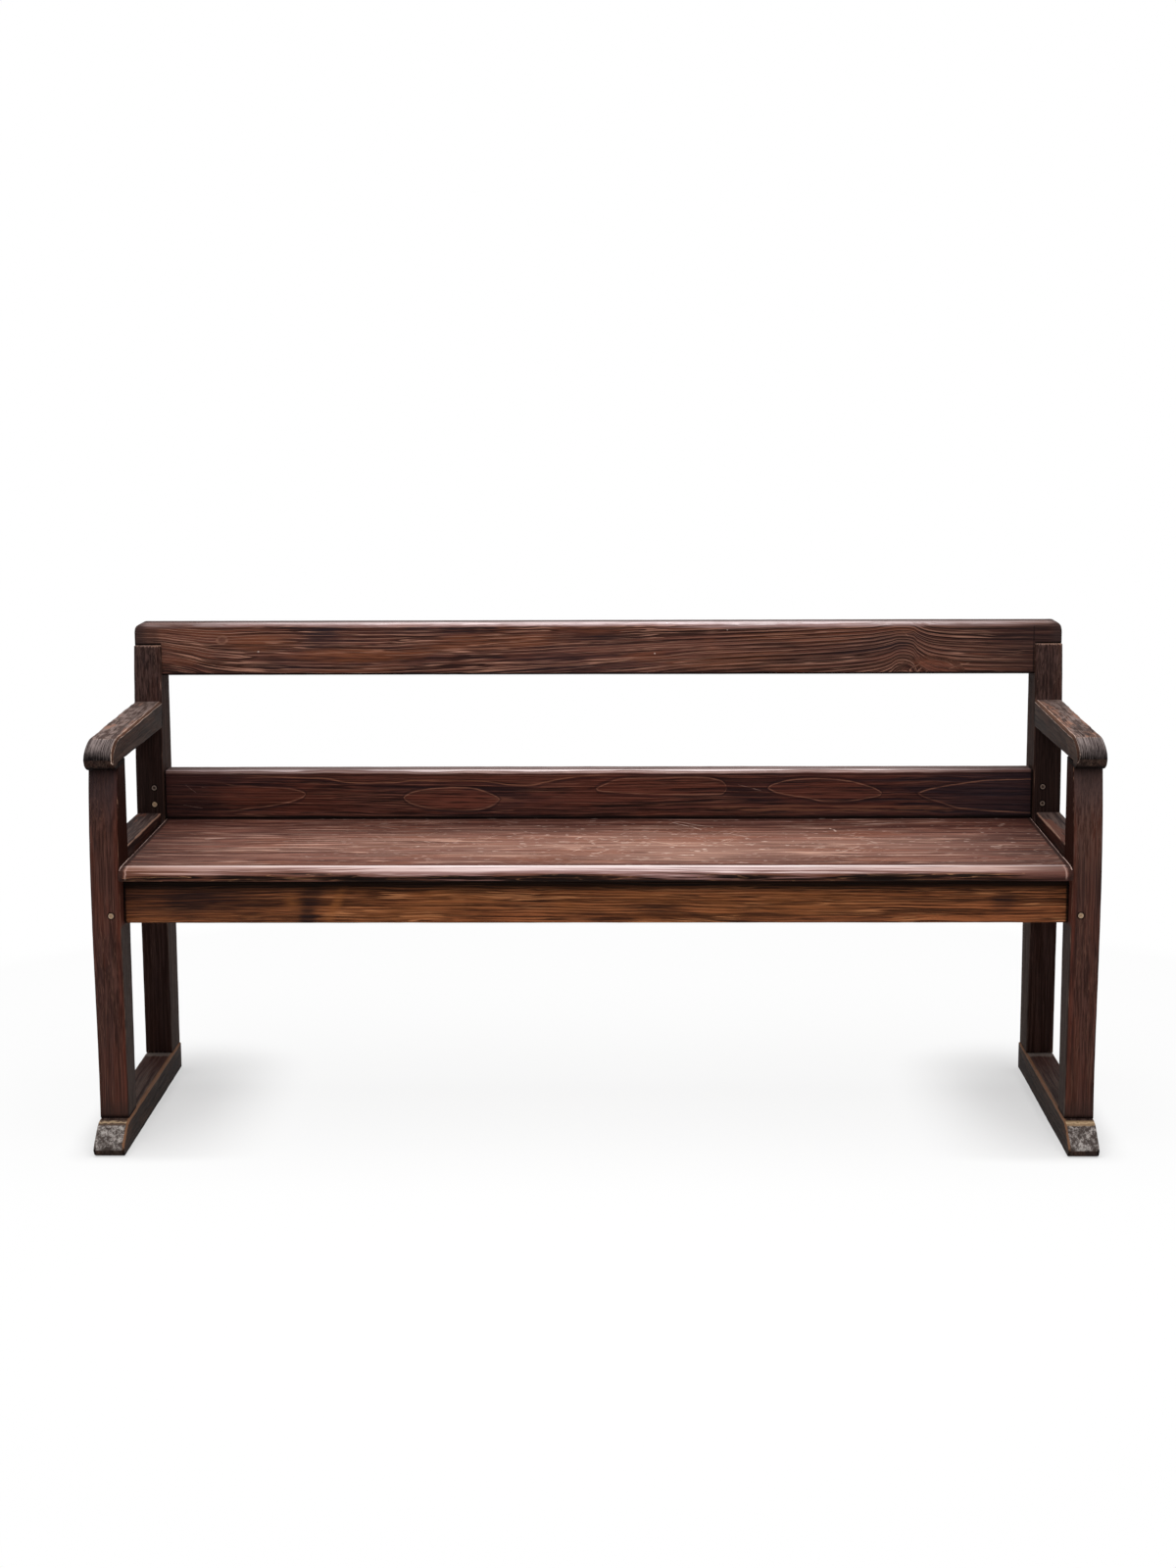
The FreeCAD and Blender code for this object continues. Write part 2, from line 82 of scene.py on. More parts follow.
def paint(colour):
    # Screen colour from 0 to 255, turned into the linear numbers that the shader takes
    share = np.array(colour) / 255
    linear = np.where(share <= 0.04045, share / 12.92, ((share + 0.055) / 1.055) ** 2.4)
    return (*[float(v) for v in linear], 1.0)


def mathNode(operation, swap=False):
    return lambda self, other=0.0: self.sum(operation, other, swap)


class Socket:
    # One shader output. Python sums on it become Math nodes.
    def __init__(self, finish, link):
        self.finish, self.link = finish, link

    def sum(self, operation, other=0.0, swap=False):
        first, second = (other, self) if swap else (self, other)
        return self.finish.put("ShaderNodeMath", {"operation": operation}, {0: first, 1: second})

    __add__ = __radd__ = mathNode("ADD")
    __mul__ = __rmul__ = mathNode("MULTIPLY")
    __sub__, __rsub__ = mathNode("SUBTRACT"), mathNode("SUBTRACT", True)
    __truediv__, __rtruediv__ = mathNode("DIVIDE"), mathNode("DIVIDE", True)
    __pow__, __rpow__, __abs__ = mathNode("POWER"), mathNode("POWER", True), mathNode("ABSOLUTE")
    least, most, fraction = mathNode("MINIMUM"), mathNode("MAXIMUM"), mathNode("FRACT")
    root = mathNode("SQRT")

    def between(self, low, high, start=0.0, end=1.0):
        # Eases from start to end as the value goes from low to high, and stays there outside
        return self.finish.put("ShaderNodeMapRange", {"interpolation_type": "SMOOTHSTEP"},
                               {"Value": self, "From Min": low, "From Max": high,
                                "To Min": start, "To Max": end})

    def near(self, level, reach):
        # 1 where the value is at the level, falling to 0 at the reach on either side
        return abs(self - level).between(reach * 0.35, reach, 1.0, 0.0)

    def curve(self, points):
        # A drawn curve through (value, height) points, both stretched to the curve node's 0 to 1
        values, heights = np.array(points).T
        low, high = float(heights.min()), float(heights.max())
        reach = high - low or 1.0
        stops = [(float((v - values[0]) / (values[-1] - values[0])), float((h - low) / reach))
                 for v, h in zip(values, heights)]
        share = (self - float(values[0])) * float(1 / (values[-1] - values[0]))
        return self.finish.put("ShaderNodeFloatCurve", {"stops": stops}, {"Value": share}) * reach + low


class Finish:
    # A material, or the world, and the nodes in it
    def __init__(self, owner):
        self.owner = owner
        self.owner.use_nodes = True
        self.tree = self.owner.node_tree
        self.tree.nodes.clear()

    def put(self, kind, settings=None, values=None, out=0):
        node = self.tree.nodes.new(kind)
        for key, value in (settings or {}).items():
            if key == "stops":
                line = node.mapping.curves[0]
                for place, height in value[1:-1]:
                    line.points.new(place, height)
                line.points[0].location, line.points[-1].location = value[0], value[-1]
                node.mapping.update()
            else:
                setattr(node, key, value)
        for key, value in (values or {}).items():
            if isinstance(value, Socket):
                self.tree.links.new(value.link, node.inputs[key])
            else:
                node.inputs[key].default_value = value
        return Socket(self, node.outputs[out]) if node.outputs else None

    def outputs(self, kind, names, values=None):
        node = self.put(kind, None, values).link.node
        return [Socket(self, node.outputs[name]) for name in names]

    def over(self, first, second, share):
        # The second colour over the first by a share. Either is a socket or a screen colour
        first, second = (paint(each) if isinstance(each, tuple) else each for each in (first, second))
        return self.put("ShaderNodeMix", {"data_type": "RGBA"}, {0: share, 6: first, 7: second}, out=2)

    def mixValue(self, first, second, share):
        return self.put("ShaderNodeMix", {"data_type": "FLOAT"}, {0: share, 2: first, 3: second})

    def join(self, first, second, third):
        return self.put("ShaderNodeCombineXYZ", None, {0: first, 1: second, 2: third})

    def noise(self, place, stretch, shift=0.0, detail=3.0, rough=0.6):
        spot = self.put("ShaderNodeVectorMath", {"operation": "MULTIPLY_ADD"},
                        {0: place, 1: (stretch[0], stretch[1], stretch[1]), 2: (shift, shift * 0.7, 0.0)})
        return self.put("ShaderNodeTexNoise", None,
                        {"Vector": spot, "Scale": 1.0, "Detail": detail, "Roughness": rough})

    def attribute(self, name):
        return self.put("ShaderNodeAttribute", {"attribute_name": name}, None, out=2)

    def patch(self, spot, centre, size, tilt=0.0, ragged=0.0, soft=0.5):
        # An oval mask: 1 inside, 0 outside, from the length of the turned offset over the oval's half sizes
        turn = (math.cos(math.radians(tilt)), math.sin(math.radians(tilt)))
        along, across = spot[0] - centre[0], spot[1] - centre[1]
        u = (along * turn[0] + across * turn[1]) * (1 / size[0])
        v = (across * turn[0] - along * turn[1]) * (1 / size[1])
        return ((u * u + v * v).root() + ragged).between(1 - soft, 1 + soft, 1.0, 0.0)

    def layers(self, colour, laid):
        # Colours laid over the first one in turn, each given with its share
        for tone, share in laid:
            colour = self.over(colour, tone, share)
        return colour

    def patches(self, colour, tone, spot, places, ragged, soft, fade):
        # One colour laid over several ovals, each with its own strength
        for centre, size, tilt, share in places:
            mask = self.patch(spot, centre, size, tilt, ragged, soft) * fade * share
            colour = self.over(colour, tone, mask)
        return colour

    def stroke(self, spot, start, end, reach):
        # A scratch: 1 on the straight line between two points, 0 past the reach from it
        length = math.hypot(end[0] - start[0], end[1] - start[1])
        way = ((end[0] - start[0]) / length, (end[1] - start[1]) / length)
        along, across = spot[0] - start[0], spot[1] - start[1]
        run = (along * way[0] + across * way[1]).most(0.0).least(length)
        offAlong, offAcross = along - run * way[0], across - run * way[1]
        return (offAlong * offAlong + offAcross * offAcross).root().between(reach * 0.4, reach, 1.0, 0.0)

    def finished(self, colour, roughness, height, depth, values=None):
        # Bump from the height, then the surface shader and the output
        bump = self.put("ShaderNodeBump", None, {"Strength": 1.0, "Distance": depth, "Height": height})
        surface = self.put("ShaderNodeBsdfPrincipled", None,
                           {"Base Color": colour, "Roughness": roughness, "Normal": bump, **(values or {})})
        self.put("ShaderNodeOutputMaterial", None, {"Surface": surface})
        return self.owner


# What the wood finishes share. Colours are screen colours and lengths are in metres
woodBase = {
    "dark": (44, 25, 21),        # earlywood and pores
    "mid": (92, 57, 46),
    "line": (138, 94, 74),       # raised latewood lines
    "shade": (50, 36, 38),       # bluish dark patches
    "warm": (122, 68, 42),       # orange patches
    "worn": (176, 150, 142),     # rubbed arrises, lightened also as painted highlight
    "wornWarm": (170, 128, 104),
    "grime": (16, 10, 9),        # dirt in the joints, and painted shade in crevices and under overhangs
    "contrast": 0.07,            # half width of the step from dark to mid, in noise units: small is crisp
    "lineShare": 0.75, "darkLineShare": 0.7, "shadeShare": 0.6, "warmShare": 0.45, "poreShare": 0.6,
    "hairShare": 0.45, "hairReach": 0.032, "edgeLine": 0.0, "wornAlong": ((-1.0, 0.3), (1.0, 0.3)),
    "ringSpacing": 0.0075, "ringWander": 0.020, "ringRipple": 0.005, "ringTaper": 0.01,
    "pith": (0.30, -0.60),
    "streakScale": (2.6, 120.0), "fibreScale": (13.0, 430.0), "patchScale": (3.4, 13.0),
    "hairScale": (4.0, 120.0),
    "roughness": 0.64, "gloss": 0.05, "bump": 0.0009, "seed": 0.0,
}


def wood(name, axis, look, bend=None, marks=None):
    # Grain rings are the distance from a far pith, bent by stretched noise, over the ring spacing.
    # Each ring is a saw wave: its crest makes a thin pale line and its foot a dark one.
    # Streaks, fibres and patches are noise stretched along the grain. Hairs are lines of equal noise.
    look = {**woodBase, **look}
    made = Finish(bpy.data.materials.new(name))
    place = made.put("ShaderNodeTexCoord", None, None, out=3)
    x, y, z = made.outputs("ShaderNodeSeparateXYZ", "XYZ", {0: place})
    along, across, through = {"X": (x, z, y), "XY": (x, y, z), "Y": (y, x, z), "Z": (z, x, y)}[axis]
    plain = made.join(along + look["seed"], across, through)
    drift = made.noise(plain, (1.7, 8.0), 0.0, 2.0, 0.5) - 0.5
    ripple = made.noise(plain, (9.0, 40.0), 3.1, 2.0, 0.5) - 0.5
    bent = across + drift * look["ringWander"] + ripple * look["ringRipple"]
    if bend:
        bent = bend(along, across, bent)
    grain = made.join(along + look["seed"], bent, through)
    flatPart, deepPart = bent - look["pith"][0], through - look["pith"][1]
    distance = (flatPart * flatPart + deepPart * deepPart).root() + along * look["ringTaper"]
    rings = distance * (1 / look["ringSpacing"])
    if "figure" in look:
        rings = look["figure"](made, (along, across), rings, ripple)
    phase = rings.fraction()
    line = phase.between(0.42, 0.66) * phase.between(0.68, 0.78, 1.0, 0.0)
    darkLine = phase.between(0.72, 0.82) * phase.between(0.90, 1.0, 1.0, 0.0)

    streak = made.noise(grain, look["streakScale"], 1.3, 4.0, 0.65)
    fibre = made.noise(grain, look["fibreScale"], 5.7, 3.0, 0.65)
    blotch = made.noise(plain, look["patchScale"], 9.2, 4.0, 0.6)
    smudge = made.noise(plain, (look["patchScale"][0] * 1.7, look["patchScale"][1] * 2.2), 13.4, 4.0, 0.6)
    strong = made.noise(grain, (2.2, 40.0), 21.0, 3.0, 0.6)
    pore = made.noise(grain, (5.0, 260.0), 31.0, 3.0, 0.7)
    hairField = made.noise(grain, look["hairScale"], 37.0, 3.0, 0.45)
    hairPatch = made.noise(grain, (7.0, 30.0), 41.0, 2.0, 0.5)

    body = streak * 0.55 + fibre * 0.45
    colour = made.over(look["dark"], look["mid"],
                       body.between(0.5 - look["contrast"], 0.5 + look["contrast"]))
    colour = made.layers(colour, [
        (look["warm"], smudge.between(0.49, 0.60) * look["warmShare"]),
        (look["shade"], blotch.between(0.51, 0.61) * look["shadeShare"]),
        (look["line"], line * strong.between(0.42, 0.56) * fibre.between(0.36, 0.52, 0.35, 1.0)
         * look["lineShare"]),
        (look["dark"], darkLine * strong.between(0.40, 0.54) * look["darkLineShare"]),
    ])
    hair = hairField.near(0.50, look["hairReach"]) * hairPatch.between(0.42, 0.54)
    colour = made.layers(colour, [
        (look["line"], hair * look["hairShare"]),
        (look["dark"], hairField.near(0.455, look["hairReach"]) * hairPatch.between(0.38, 0.50)
         * look["hairShare"]),
        (look["dark"], pore.between(0.55, 0.62) * look["poreShare"]),
    ])
    height = line * 0.5 + hair * 0.4 + fibre * 0.5 + streak * 0.4 - pore.between(0.55, 0.62) * 0.4
    wear, grime = made.attribute("wear"), made.attribute("grime")
    if marks:
        part = {"spot": (along, across), "through": through, "grain": grain, "wear": wear, "streak": streak,
                "fibre": fibre, "smudge": smudge, "ripple": ripple, "strong": strong, "rings": rings}
        colour, height = marks(made, part, colour, height)
    # Rubbed arrises: paler from wear, and lightened further as painted highlight
    rubbed = (wear + (streak - 0.5) * 0.6 + (fibre - 0.5) * 0.9).between(0.42, 0.58)
    wornAndLitColour = made.over(look["worn"], look["wornWarm"],
                           along.curve(look["wornAlong"]) + (smudge - 0.5) * 1.5)
    colour = made.over(colour, wornAndLitColour, rubbed * 0.92)
    if look["edgeLine"]:
        edge = ((wear + (strong - 0.5) * 0.6).near(0.36, 0.09) * smudge.between(0.44, 0.54, 0.3, 1.0)
                * fibre.between(0.40, 0.52, 0.3, 1.0))
        colour = made.over(colour, look["edgeColour"], edge * look["edgeLine"])
    # Dirt in the joints, and painted shade in crevices and under overhangs
    dirtAndShadeShare = (grime + (streak - 0.5) * 0.5).between(0.15, 0.75) * 0.94
    colour = made.over(colour, look["grime"], dirtAndShadeShare)
    roughness = (fibre - 0.5) * 0.25 + look["roughness"] - wear * 0.12
    return made.finished(colour, roughness, height, look["bump"], {"Specular IOR Level": look["gloss"]})


# What the members share: how an arris, its wear and painted highlight, and its dirt and painted shade change
# along the length, and how far the ends show them
shaping = {
    # Arris radius: spacing in metres, share
    "slow": 0.09, "slowShare": 0.28, "quick": 0.017, "quickShare": 0.22,
    "wearSlow": 0.12, "wearQuick": 0.025, "wearChange": 0.4, "dirtAndShadeChange": 0.3,
    "endWearAndHighlightReach": 0.0035, "dirtAndShadeReach": 0.004, "capInset": 0.25, "capShare": 0.1,
}


def wander(places, spacing, seed, count=4096, shift=10):
    # Smooth random curve: random heights from -1 to 1, one each spacing, joined by ease curves
    knots = np.random.default_rng(seed).uniform(-1, 1, count)
    steps = (np.asarray(places) + shift) / spacing
    cell = np.floor(steps).astype(int)
    share = (steps - cell) ** 2 * (3 - 2 * (steps - cell))
    return knots[cell % count] * (1 - share) + knots[(cell + 1) % count] * share


def runAlong(points):
    # Distance along a line of (depth, height) points, at each of them
    return np.r_[0, np.cumsum(np.hypot(*np.diff(points, axis=0).T))]


def pointsAt(places, run, points):
    # Points of a line at the given distances along it
    return np.stack([np.interp(places, run, points[:, i]) for i in range(2)], -1)


def smoothCurve(points, count):
    # Cubic curve through the points, with each tangent taken from its neighbours
    points = np.asarray(points, float)
    chord = runAlong(points)
    slope = np.gradient(points, chord, axis=0)
    place = np.linspace(0, chord[-1], count)
    k = np.clip(np.searchsorted(chord, place, "right") - 1, 0, len(points) - 2)
    gap = (chord[k + 1] - chord[k])[:, None]
    u = (place - chord[k])[:, None] / gap
    return ((2 * u**3 - 3 * u**2 + 1) * points[k] + (u**3 - 2 * u**2 + u) * gap * slope[k]
            + (3 * u**2 - 2 * u**3) * points[k + 1] + (u**3 - u**2) * gap * slope[k + 1])


def endInset(away, radius):
    # Quarter circle: how far the surface is drawn in at a distance from the end
    inside = np.clip(radius - away, 0, radius)
    return radius - np.sqrt(np.maximum(radius**2 - inside**2, 0))


def stationsAlong(length, step, endRounds, extra=()):
    # Even steps, with closer ones round both ends and at each extra place
    turn = 1 - np.cos(np.linspace(0, np.pi / 2, 6))
    count = max(2, int((length - sum(endRounds)) / step))
    middle = np.linspace(endRounds[0], length - endRounds[1], count + 1)
    return np.unique(np.r_[endRounds[0] * turn, middle, length - endRounds[1] * turn, list(extra)].round(7))


def roundedSection(width, height, radii, arcSteps=6, flatSteps=10):
    # Rectangle with round corners, one row per station: corner centre plus radius times (cosine, sine),
    # and between two arcs the straight line, with points crowded towards the arrises
    turn = np.linspace(0, np.pi / 2, arcSteps + 1)
    arcs = []
    for k, (sideX, sideY) in enumerate(((-1, -1), (1, -1), (1, 1), (-1, 1))):
        radius = radii[:, k]
        centreX = (sideX > 0) * width - sideX * radius
        centreY = (sideY > 0) * height - sideY * radius
        angle = np.pi + k * np.pi / 2 + turn
        arcs.append(np.stack([centreX[:, None] + radius[:, None] * np.cos(angle),
                              centreY[:, None] + radius[:, None] * np.sin(angle)], -1))
    share = (0.5 - 0.5 * np.cos(np.pi * np.arange(1, flatSteps) / flatSteps))[None, :, None]
    row = []
    for k in range(4):
        start, end = arcs[k][:, -1:], arcs[(k + 1) % 4][:, :1]
        row += [arcs[k], start * (1 - share) + end * share]
    arrisAt = [k * (arcSteps + flatSteps) + arcSteps // 2 for k in range(4)]
    return np.concatenate(row, 1), arrisAt


def meshFrom(name, blocks, attributes, material, sharpAngle=42):
    # Each block is a tube: rows of points closed round and joined into quads, with a fan of triangles to
    # the middle of each end. The signed volume, one sixth of the sum of triple products, tells whether
    # the faces point outwards.
    number, count, around = blocks.shape[:3]
    index = np.arange(count * around).reshape(count, around)
    here, there = index[:-1], index[1:]
    quads = np.stack([here, np.roll(here, -1, 1), np.roll(there, -1, 1), there], -1).reshape(-1, 4)
    first, last = count * around, count * around + 1
    fans = np.concatenate([np.stack([np.full(around, first), np.roll(index[0], -1), index[0]], -1),
                           np.stack([np.full(around, last), index[-1], np.roll(index[-1], -1)], -1)])
    points = np.concatenate([blocks.reshape(number, -1, 3), blocks[:, :1].mean(2), blocks[:, -1:].mean(2)],
                            1)
    offset = np.arange(number)[:, None, None] * points.shape[1]
    quads, fans = (quads + offset).reshape(-1, 4), (fans + offset).reshape(-1, 3)
    points = points.reshape(-1, 3)
    corner = points[np.concatenate([quads[:, [0, 1, 2]], quads[:, [0, 2, 3]], fans])]
    if np.einsum("ij,ij->i", corner[:, 0], np.cross(corner[:, 1], corner[:, 2])).sum() < 0:
        quads, fans = quads[:, ::-1], fans[:, ::-1]
    mesh = bpy.data.meshes.new(name)
    mesh.from_pydata(points, [], quads.tolist() + fans.tolist())
    for key, values in attributes.items():
        layer = mesh.attributes.new(key, "FLOAT", "POINT")
        values = np.concatenate([values.reshape(number, -1), values[:, :1, 0], values[:, -1:, 0]], 1)
        layer.data.foreach_set("value", values.ravel().astype(np.float32))
    mesh.shade_smooth()
    mesh.set_sharp_from_angle(angle=math.radians(sharpAngle))
    mesh.materials.append(material)
    piece = bpy.data.objects.new(name, mesh)
    bpy.context.scene.collection.objects.link(piece)
    return piece


def arrisBands(rows, arrisAt, stations, amounts, reaches, seed, ragged):
    # Bell curve of the distance round the section from each arris, stronger or weaker along it
    step = np.linalg.norm(rows - np.roll(rows, 1, 1), axis=2)
    whole = step.sum(1, keepdims=True)
    step[:, 0] = 0
    place = np.cumsum(step, 1)
    band = np.zeros(place.shape)
    for k, at in enumerate(arrisAt):
        away = np.abs(place - place[:, at:at + 1])
        away = np.minimum(away, whole - away)
        change = ragged * 0.5 * (wander(stations, shaping["wearSlow"], seed + k)
                                 + wander(stations, shaping["wearQuick"], seed + k + 50))
        band = np.maximum(band, (amounts[k] * (1 + change))[:, None] * np.exp(-(away / reaches[k]) ** 2))
    return band


def member(name, nodes, axis, lower, upper, sides, piece, material, extra=()):
    # A rounded rectangle carried between a lower and an upper edge, each a line of (lengthways,
    # height) points. A point is its place on the lower edge plus its share of the height times the way
    # to the upper edge.
    lower, upper = np.asarray(lower, float), np.asarray(upper, float)
    middle = (lower + upper) / 2
    run = runAlong(middle)
    stations = stationsAlong(run[-1], piece["step"], piece["endRound"], extra)
    low = pointsAt(stations, run, lower)
    high = pointsAt(stations, run, upper)
    inset = (endInset(stations, piece["endRound"][0]) + endInset(run[-1] - stations, piece["endRound"][1]))
    height = np.linalg.norm(high - low, axis=1)
    width = sides[1] - sides[0] - 2 * inset
    rise = (height - 2 * inset).clip(1e-5)
    seed = piece["seed"] * 10
    radii = np.stack([piece["arris"][k]
                      * (1 + shaping["slowShare"] * wander(stations, shaping["slow"], seed + k + 5)
                         + shaping["quickShare"] * wander(stations, shaping["quick"], seed + k + 25))
                      for k in range(4)], -1)
    radii = np.minimum(radii, 0.499 * np.minimum(width, rise)[:, None])
    section, arrisAt = roundedSection(width, rise, radii)
    share = (section[..., 1] + inset[:, None]) / height.clip(1e-5)[:, None]
    longways = low[:, None, 0] + share * (high - low)[:, None, 0]
    upwards = low[:, None, 1] + share * (high - low)[:, None, 1]
    sideways = sides[0] + inset[:, None] + section[..., 0]
    order = {"X": (longways, sideways, upwards), "Y": (sideways, longways, upwards),
             "Z": (sideways, upwards, longways)}[axis]
    rows = np.stack(order, -1)
    # Bands along the arrises and at the ends: wear with painted highlight, and dirt with painted shade
    wear = arrisBands(rows, arrisAt, stations, piece["wear"], piece["wearReach"], seed,
                      shaping["wearChange"])
    reach = shaping["dirtAndShadeReach"]
    grime = arrisBands(rows, arrisAt, stations, piece.get("grime", (0, 0, 0, 0)),
                       piece.get("dirtAndShadeReach", (reach,) * 4), seed + 500, shaping["dirtAndShadeChange"])
    fromStart, fromEnd = stations[:, None], run[-1] - stations[:, None]
    fromNearest = np.minimum(fromStart, fromEnd)
    wear = np.maximum(wear, piece.get("endWear", 0.0)
                      * np.exp(-(fromNearest / shaping["endWearAndHighlightReach"]) ** 2))
    for away, amount in zip((fromStart, fromEnd), piece.get("endDirtAndShade", (0.0, 0.0))):
        grime = np.maximum(grime, amount * np.exp(-(away / piece.get("endDirtAndShadeReach", reach)) ** 2))
    # A smaller ring inside each end
    caps = [ring + (ring.mean(1, keepdims=True) - ring) * shaping["capInset"]
            for ring in (rows[:1], rows[-1:])]
    rows = np.concatenate([caps[0], rows, caps[1]])
    bands = {key: np.concatenate([band[:1] * shaping["capShare"], band, band[-1:] * shaping["capShare"]])
             for key, band in (("wear", wear), ("grime", grime))}
    bands["rise"] = np.concatenate([share[:1], share, share[-1:]])
    made = meshFrom(name, rows[None], {key: band[None] for key, band in bands.items()}, material)
    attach(made, "root")
    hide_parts(*nodes)
    return made


def straight(start, end, low, high):
    # Lower and upper edge of a member with square ends
    return [(start, low), (end, low)], [(start, high), (end, high)]


def cornersFor(side, values):
    # Values are given as inner, outer, outer, inner. The left-hand end has them the other way round
    return list(values) if side > 0 else [values[1], values[0], values[3], values[2]]


def forSide(piece, side, index):
    # The name of one end of the bench and the piece's values for it: its own seed, its corners in order
    here = {**piece, "seed": piece["seed"] + index}
    for key in ("arris", "wear", "wearReach", "grime", "dirtAndShadeReach"):
        if key in piece:
            here[key] = cornersFor(side, piece[key])
    return "left" if side < 0 else "right", here


innerX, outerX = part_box("right_front_post")[0].x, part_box("right_front_post")[1].x
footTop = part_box("right_foot")[1].z
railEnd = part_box("seat_board")[1].x

# Crest rail. The rises say how far the grain lines climb along the rail, at its top and at its bottom
crest = {
    "arris": (0.0022, 0.002, 0.003, 0.0062), "wear": (0.0, 0.2, 0.0, 0.2),
    "wearReach": (0.003, 0.002, 0.005, 0.006),
    # Along the bottom arrises: painted shade under the rail
    "grime": (1.1, 0.4, 0.0, 0.0), "dirtAndShadeReach": (0.0030, 0.003, 0.003, 0.003),
    "endRound": (0.003, 0.003), "endWear": 0.25, "step": 0.004, "seed": 11, "cornerRadius": 0.011,
    "earBottom": 0.739,
    "topRise": ((-0.77, 0.006), (-0.72, 0.004), (-0.64, -0.004), (-0.55, 0.0), (0.0, 0.0), (0.25, 0.008),
                (0.45, 0.012), (0.506, 0.018), (0.53, 0.012), (0.6, 0.0), (0.77, 0.0)),
    "bottomRise": ((-0.77, 0.034), (-0.72, 0.030), (-0.68, 0.022), (-0.63, 0.006), (-0.55, 0.0), (-0.2, 0.0),
                   (0.0, 0.012), (0.25, 0.036), (0.35, 0.040), (0.45, 0.052), (0.49, 0.07), (0.506, 0.085),
                   (0.53, 0.05), (0.58, 0.02), (0.65, 0.012), (0.77, 0.01)),
    "arch": {"centre": (0.552, 0.690), "size": (0.052, 0.026), "lines": 4.0},
    "knot": (-0.6221, 0.7477),
    "rubbed": ((-0.77, 0.0), (-0.72, 0.05), (-0.60, 0.5), (-0.49, 0.7), (-0.36, 0.85), (-0.215, 1.0),
               (0.0, 1.0), (0.22, 0.95), (0.36, 0.85), (0.51, 0.5), (0.64, 0.4), (0.70, 0.2), (0.77, 0.0)),
    "darkPatches": (((-0.4508, 0.7523), (0.028, 0.011), 0, 0.8), ((-0.50, 0.708), (0.05, 0.008), 4, 0.45),
                    ((0.02, 0.702), (0.09, 0.007), 3, 0.5), ((0.47, 0.742), (0.07, 0.012), 8, 0.5),
                    ((-0.30, 0.760), (0.10, 0.006), 0, 0.4)),
    "warmPatches": (((-0.40, 0.722), (0.085, 0.010), 0, 0.75), ((-0.56, 0.746), (0.06, 0.012), 3, 0.55),
                    ((-0.18, 0.742), (0.12, 0.013), 2, 0.55), ((0.22, 0.712), (0.07, 0.012), 5, 0.45),
                    ((0.30, 0.752), (0.06, 0.008), 3, 0.4)),
    "scratches": (((-0.7191, 0.7265), (-0.6346, 0.7068), 0.0008), ((-0.2136, 0.6948), (0.0, 0.7090), 0.0008),
                  ((0.0, 0.7090), (0.2565, 0.7334), 0.0008), ((0.5828, 0.6987), (0.6199, 0.7101), 0.0009),
                  ((0.6560, 0.7120), (0.7060, 0.7245), 0.0008),
                  ((0.5056, 0.7607), (0.5139, 0.7526), 0.0010)),
    "dots": (((-0.5622, 0.7280), 0.0016), ((0.0957, 0.7238), 0.0013), ((0.2157, 0.7628), 0.0012)),
    "look": {
        "dark": (44, 26, 23), "mid": (110, 70, 59), "line": (178, 130, 110), "shade": (46, 35, 40),
        "warm": (134, 78, 54), "worn": (150, 122, 114), "wornWarm": (120, 90, 80), "seed": 1.7,
        "ringSpacing": 0.0056, "ringTaper": -0.012, "pith": (0.20, 0.1955), "hairScale": (3.2, 150.0),
        "streakScale": (2.4, 170.0), "warmShare": 0.35, "shadeShare": 0.4, "lineShare": 0.95,
        "hairShare": 0.85, "contrast": 0.055,
    },
}


def crestBend(along, across, bent):
    # Grain lines drop back by a rise blended from the bottom curve to the top curve up the face
    share = (across - 0.689) * (1 / 0.085)
    return bent - (along.curve(crest["topRise"]) * share + along.curve(crest["bottomRise"]) * (1 - share))


def crestArches(made, spot, rings, ripple):
    # Nested ellipses take the place of the grain lines inside an oval
    centre, size = crest["arch"]["centre"], crest["arch"]["size"]
    u, v = (spot[0] - centre[0]) * (1 / size[0]), (spot[1] - centre[1]) * (1 / size[1])
    nested = ((u * u + v * v).root() + ripple * 0.5) * crest["arch"]["lines"]
    return made.mixValue(rings, nested, made.patch(spot, centre, size, soft=0.12))


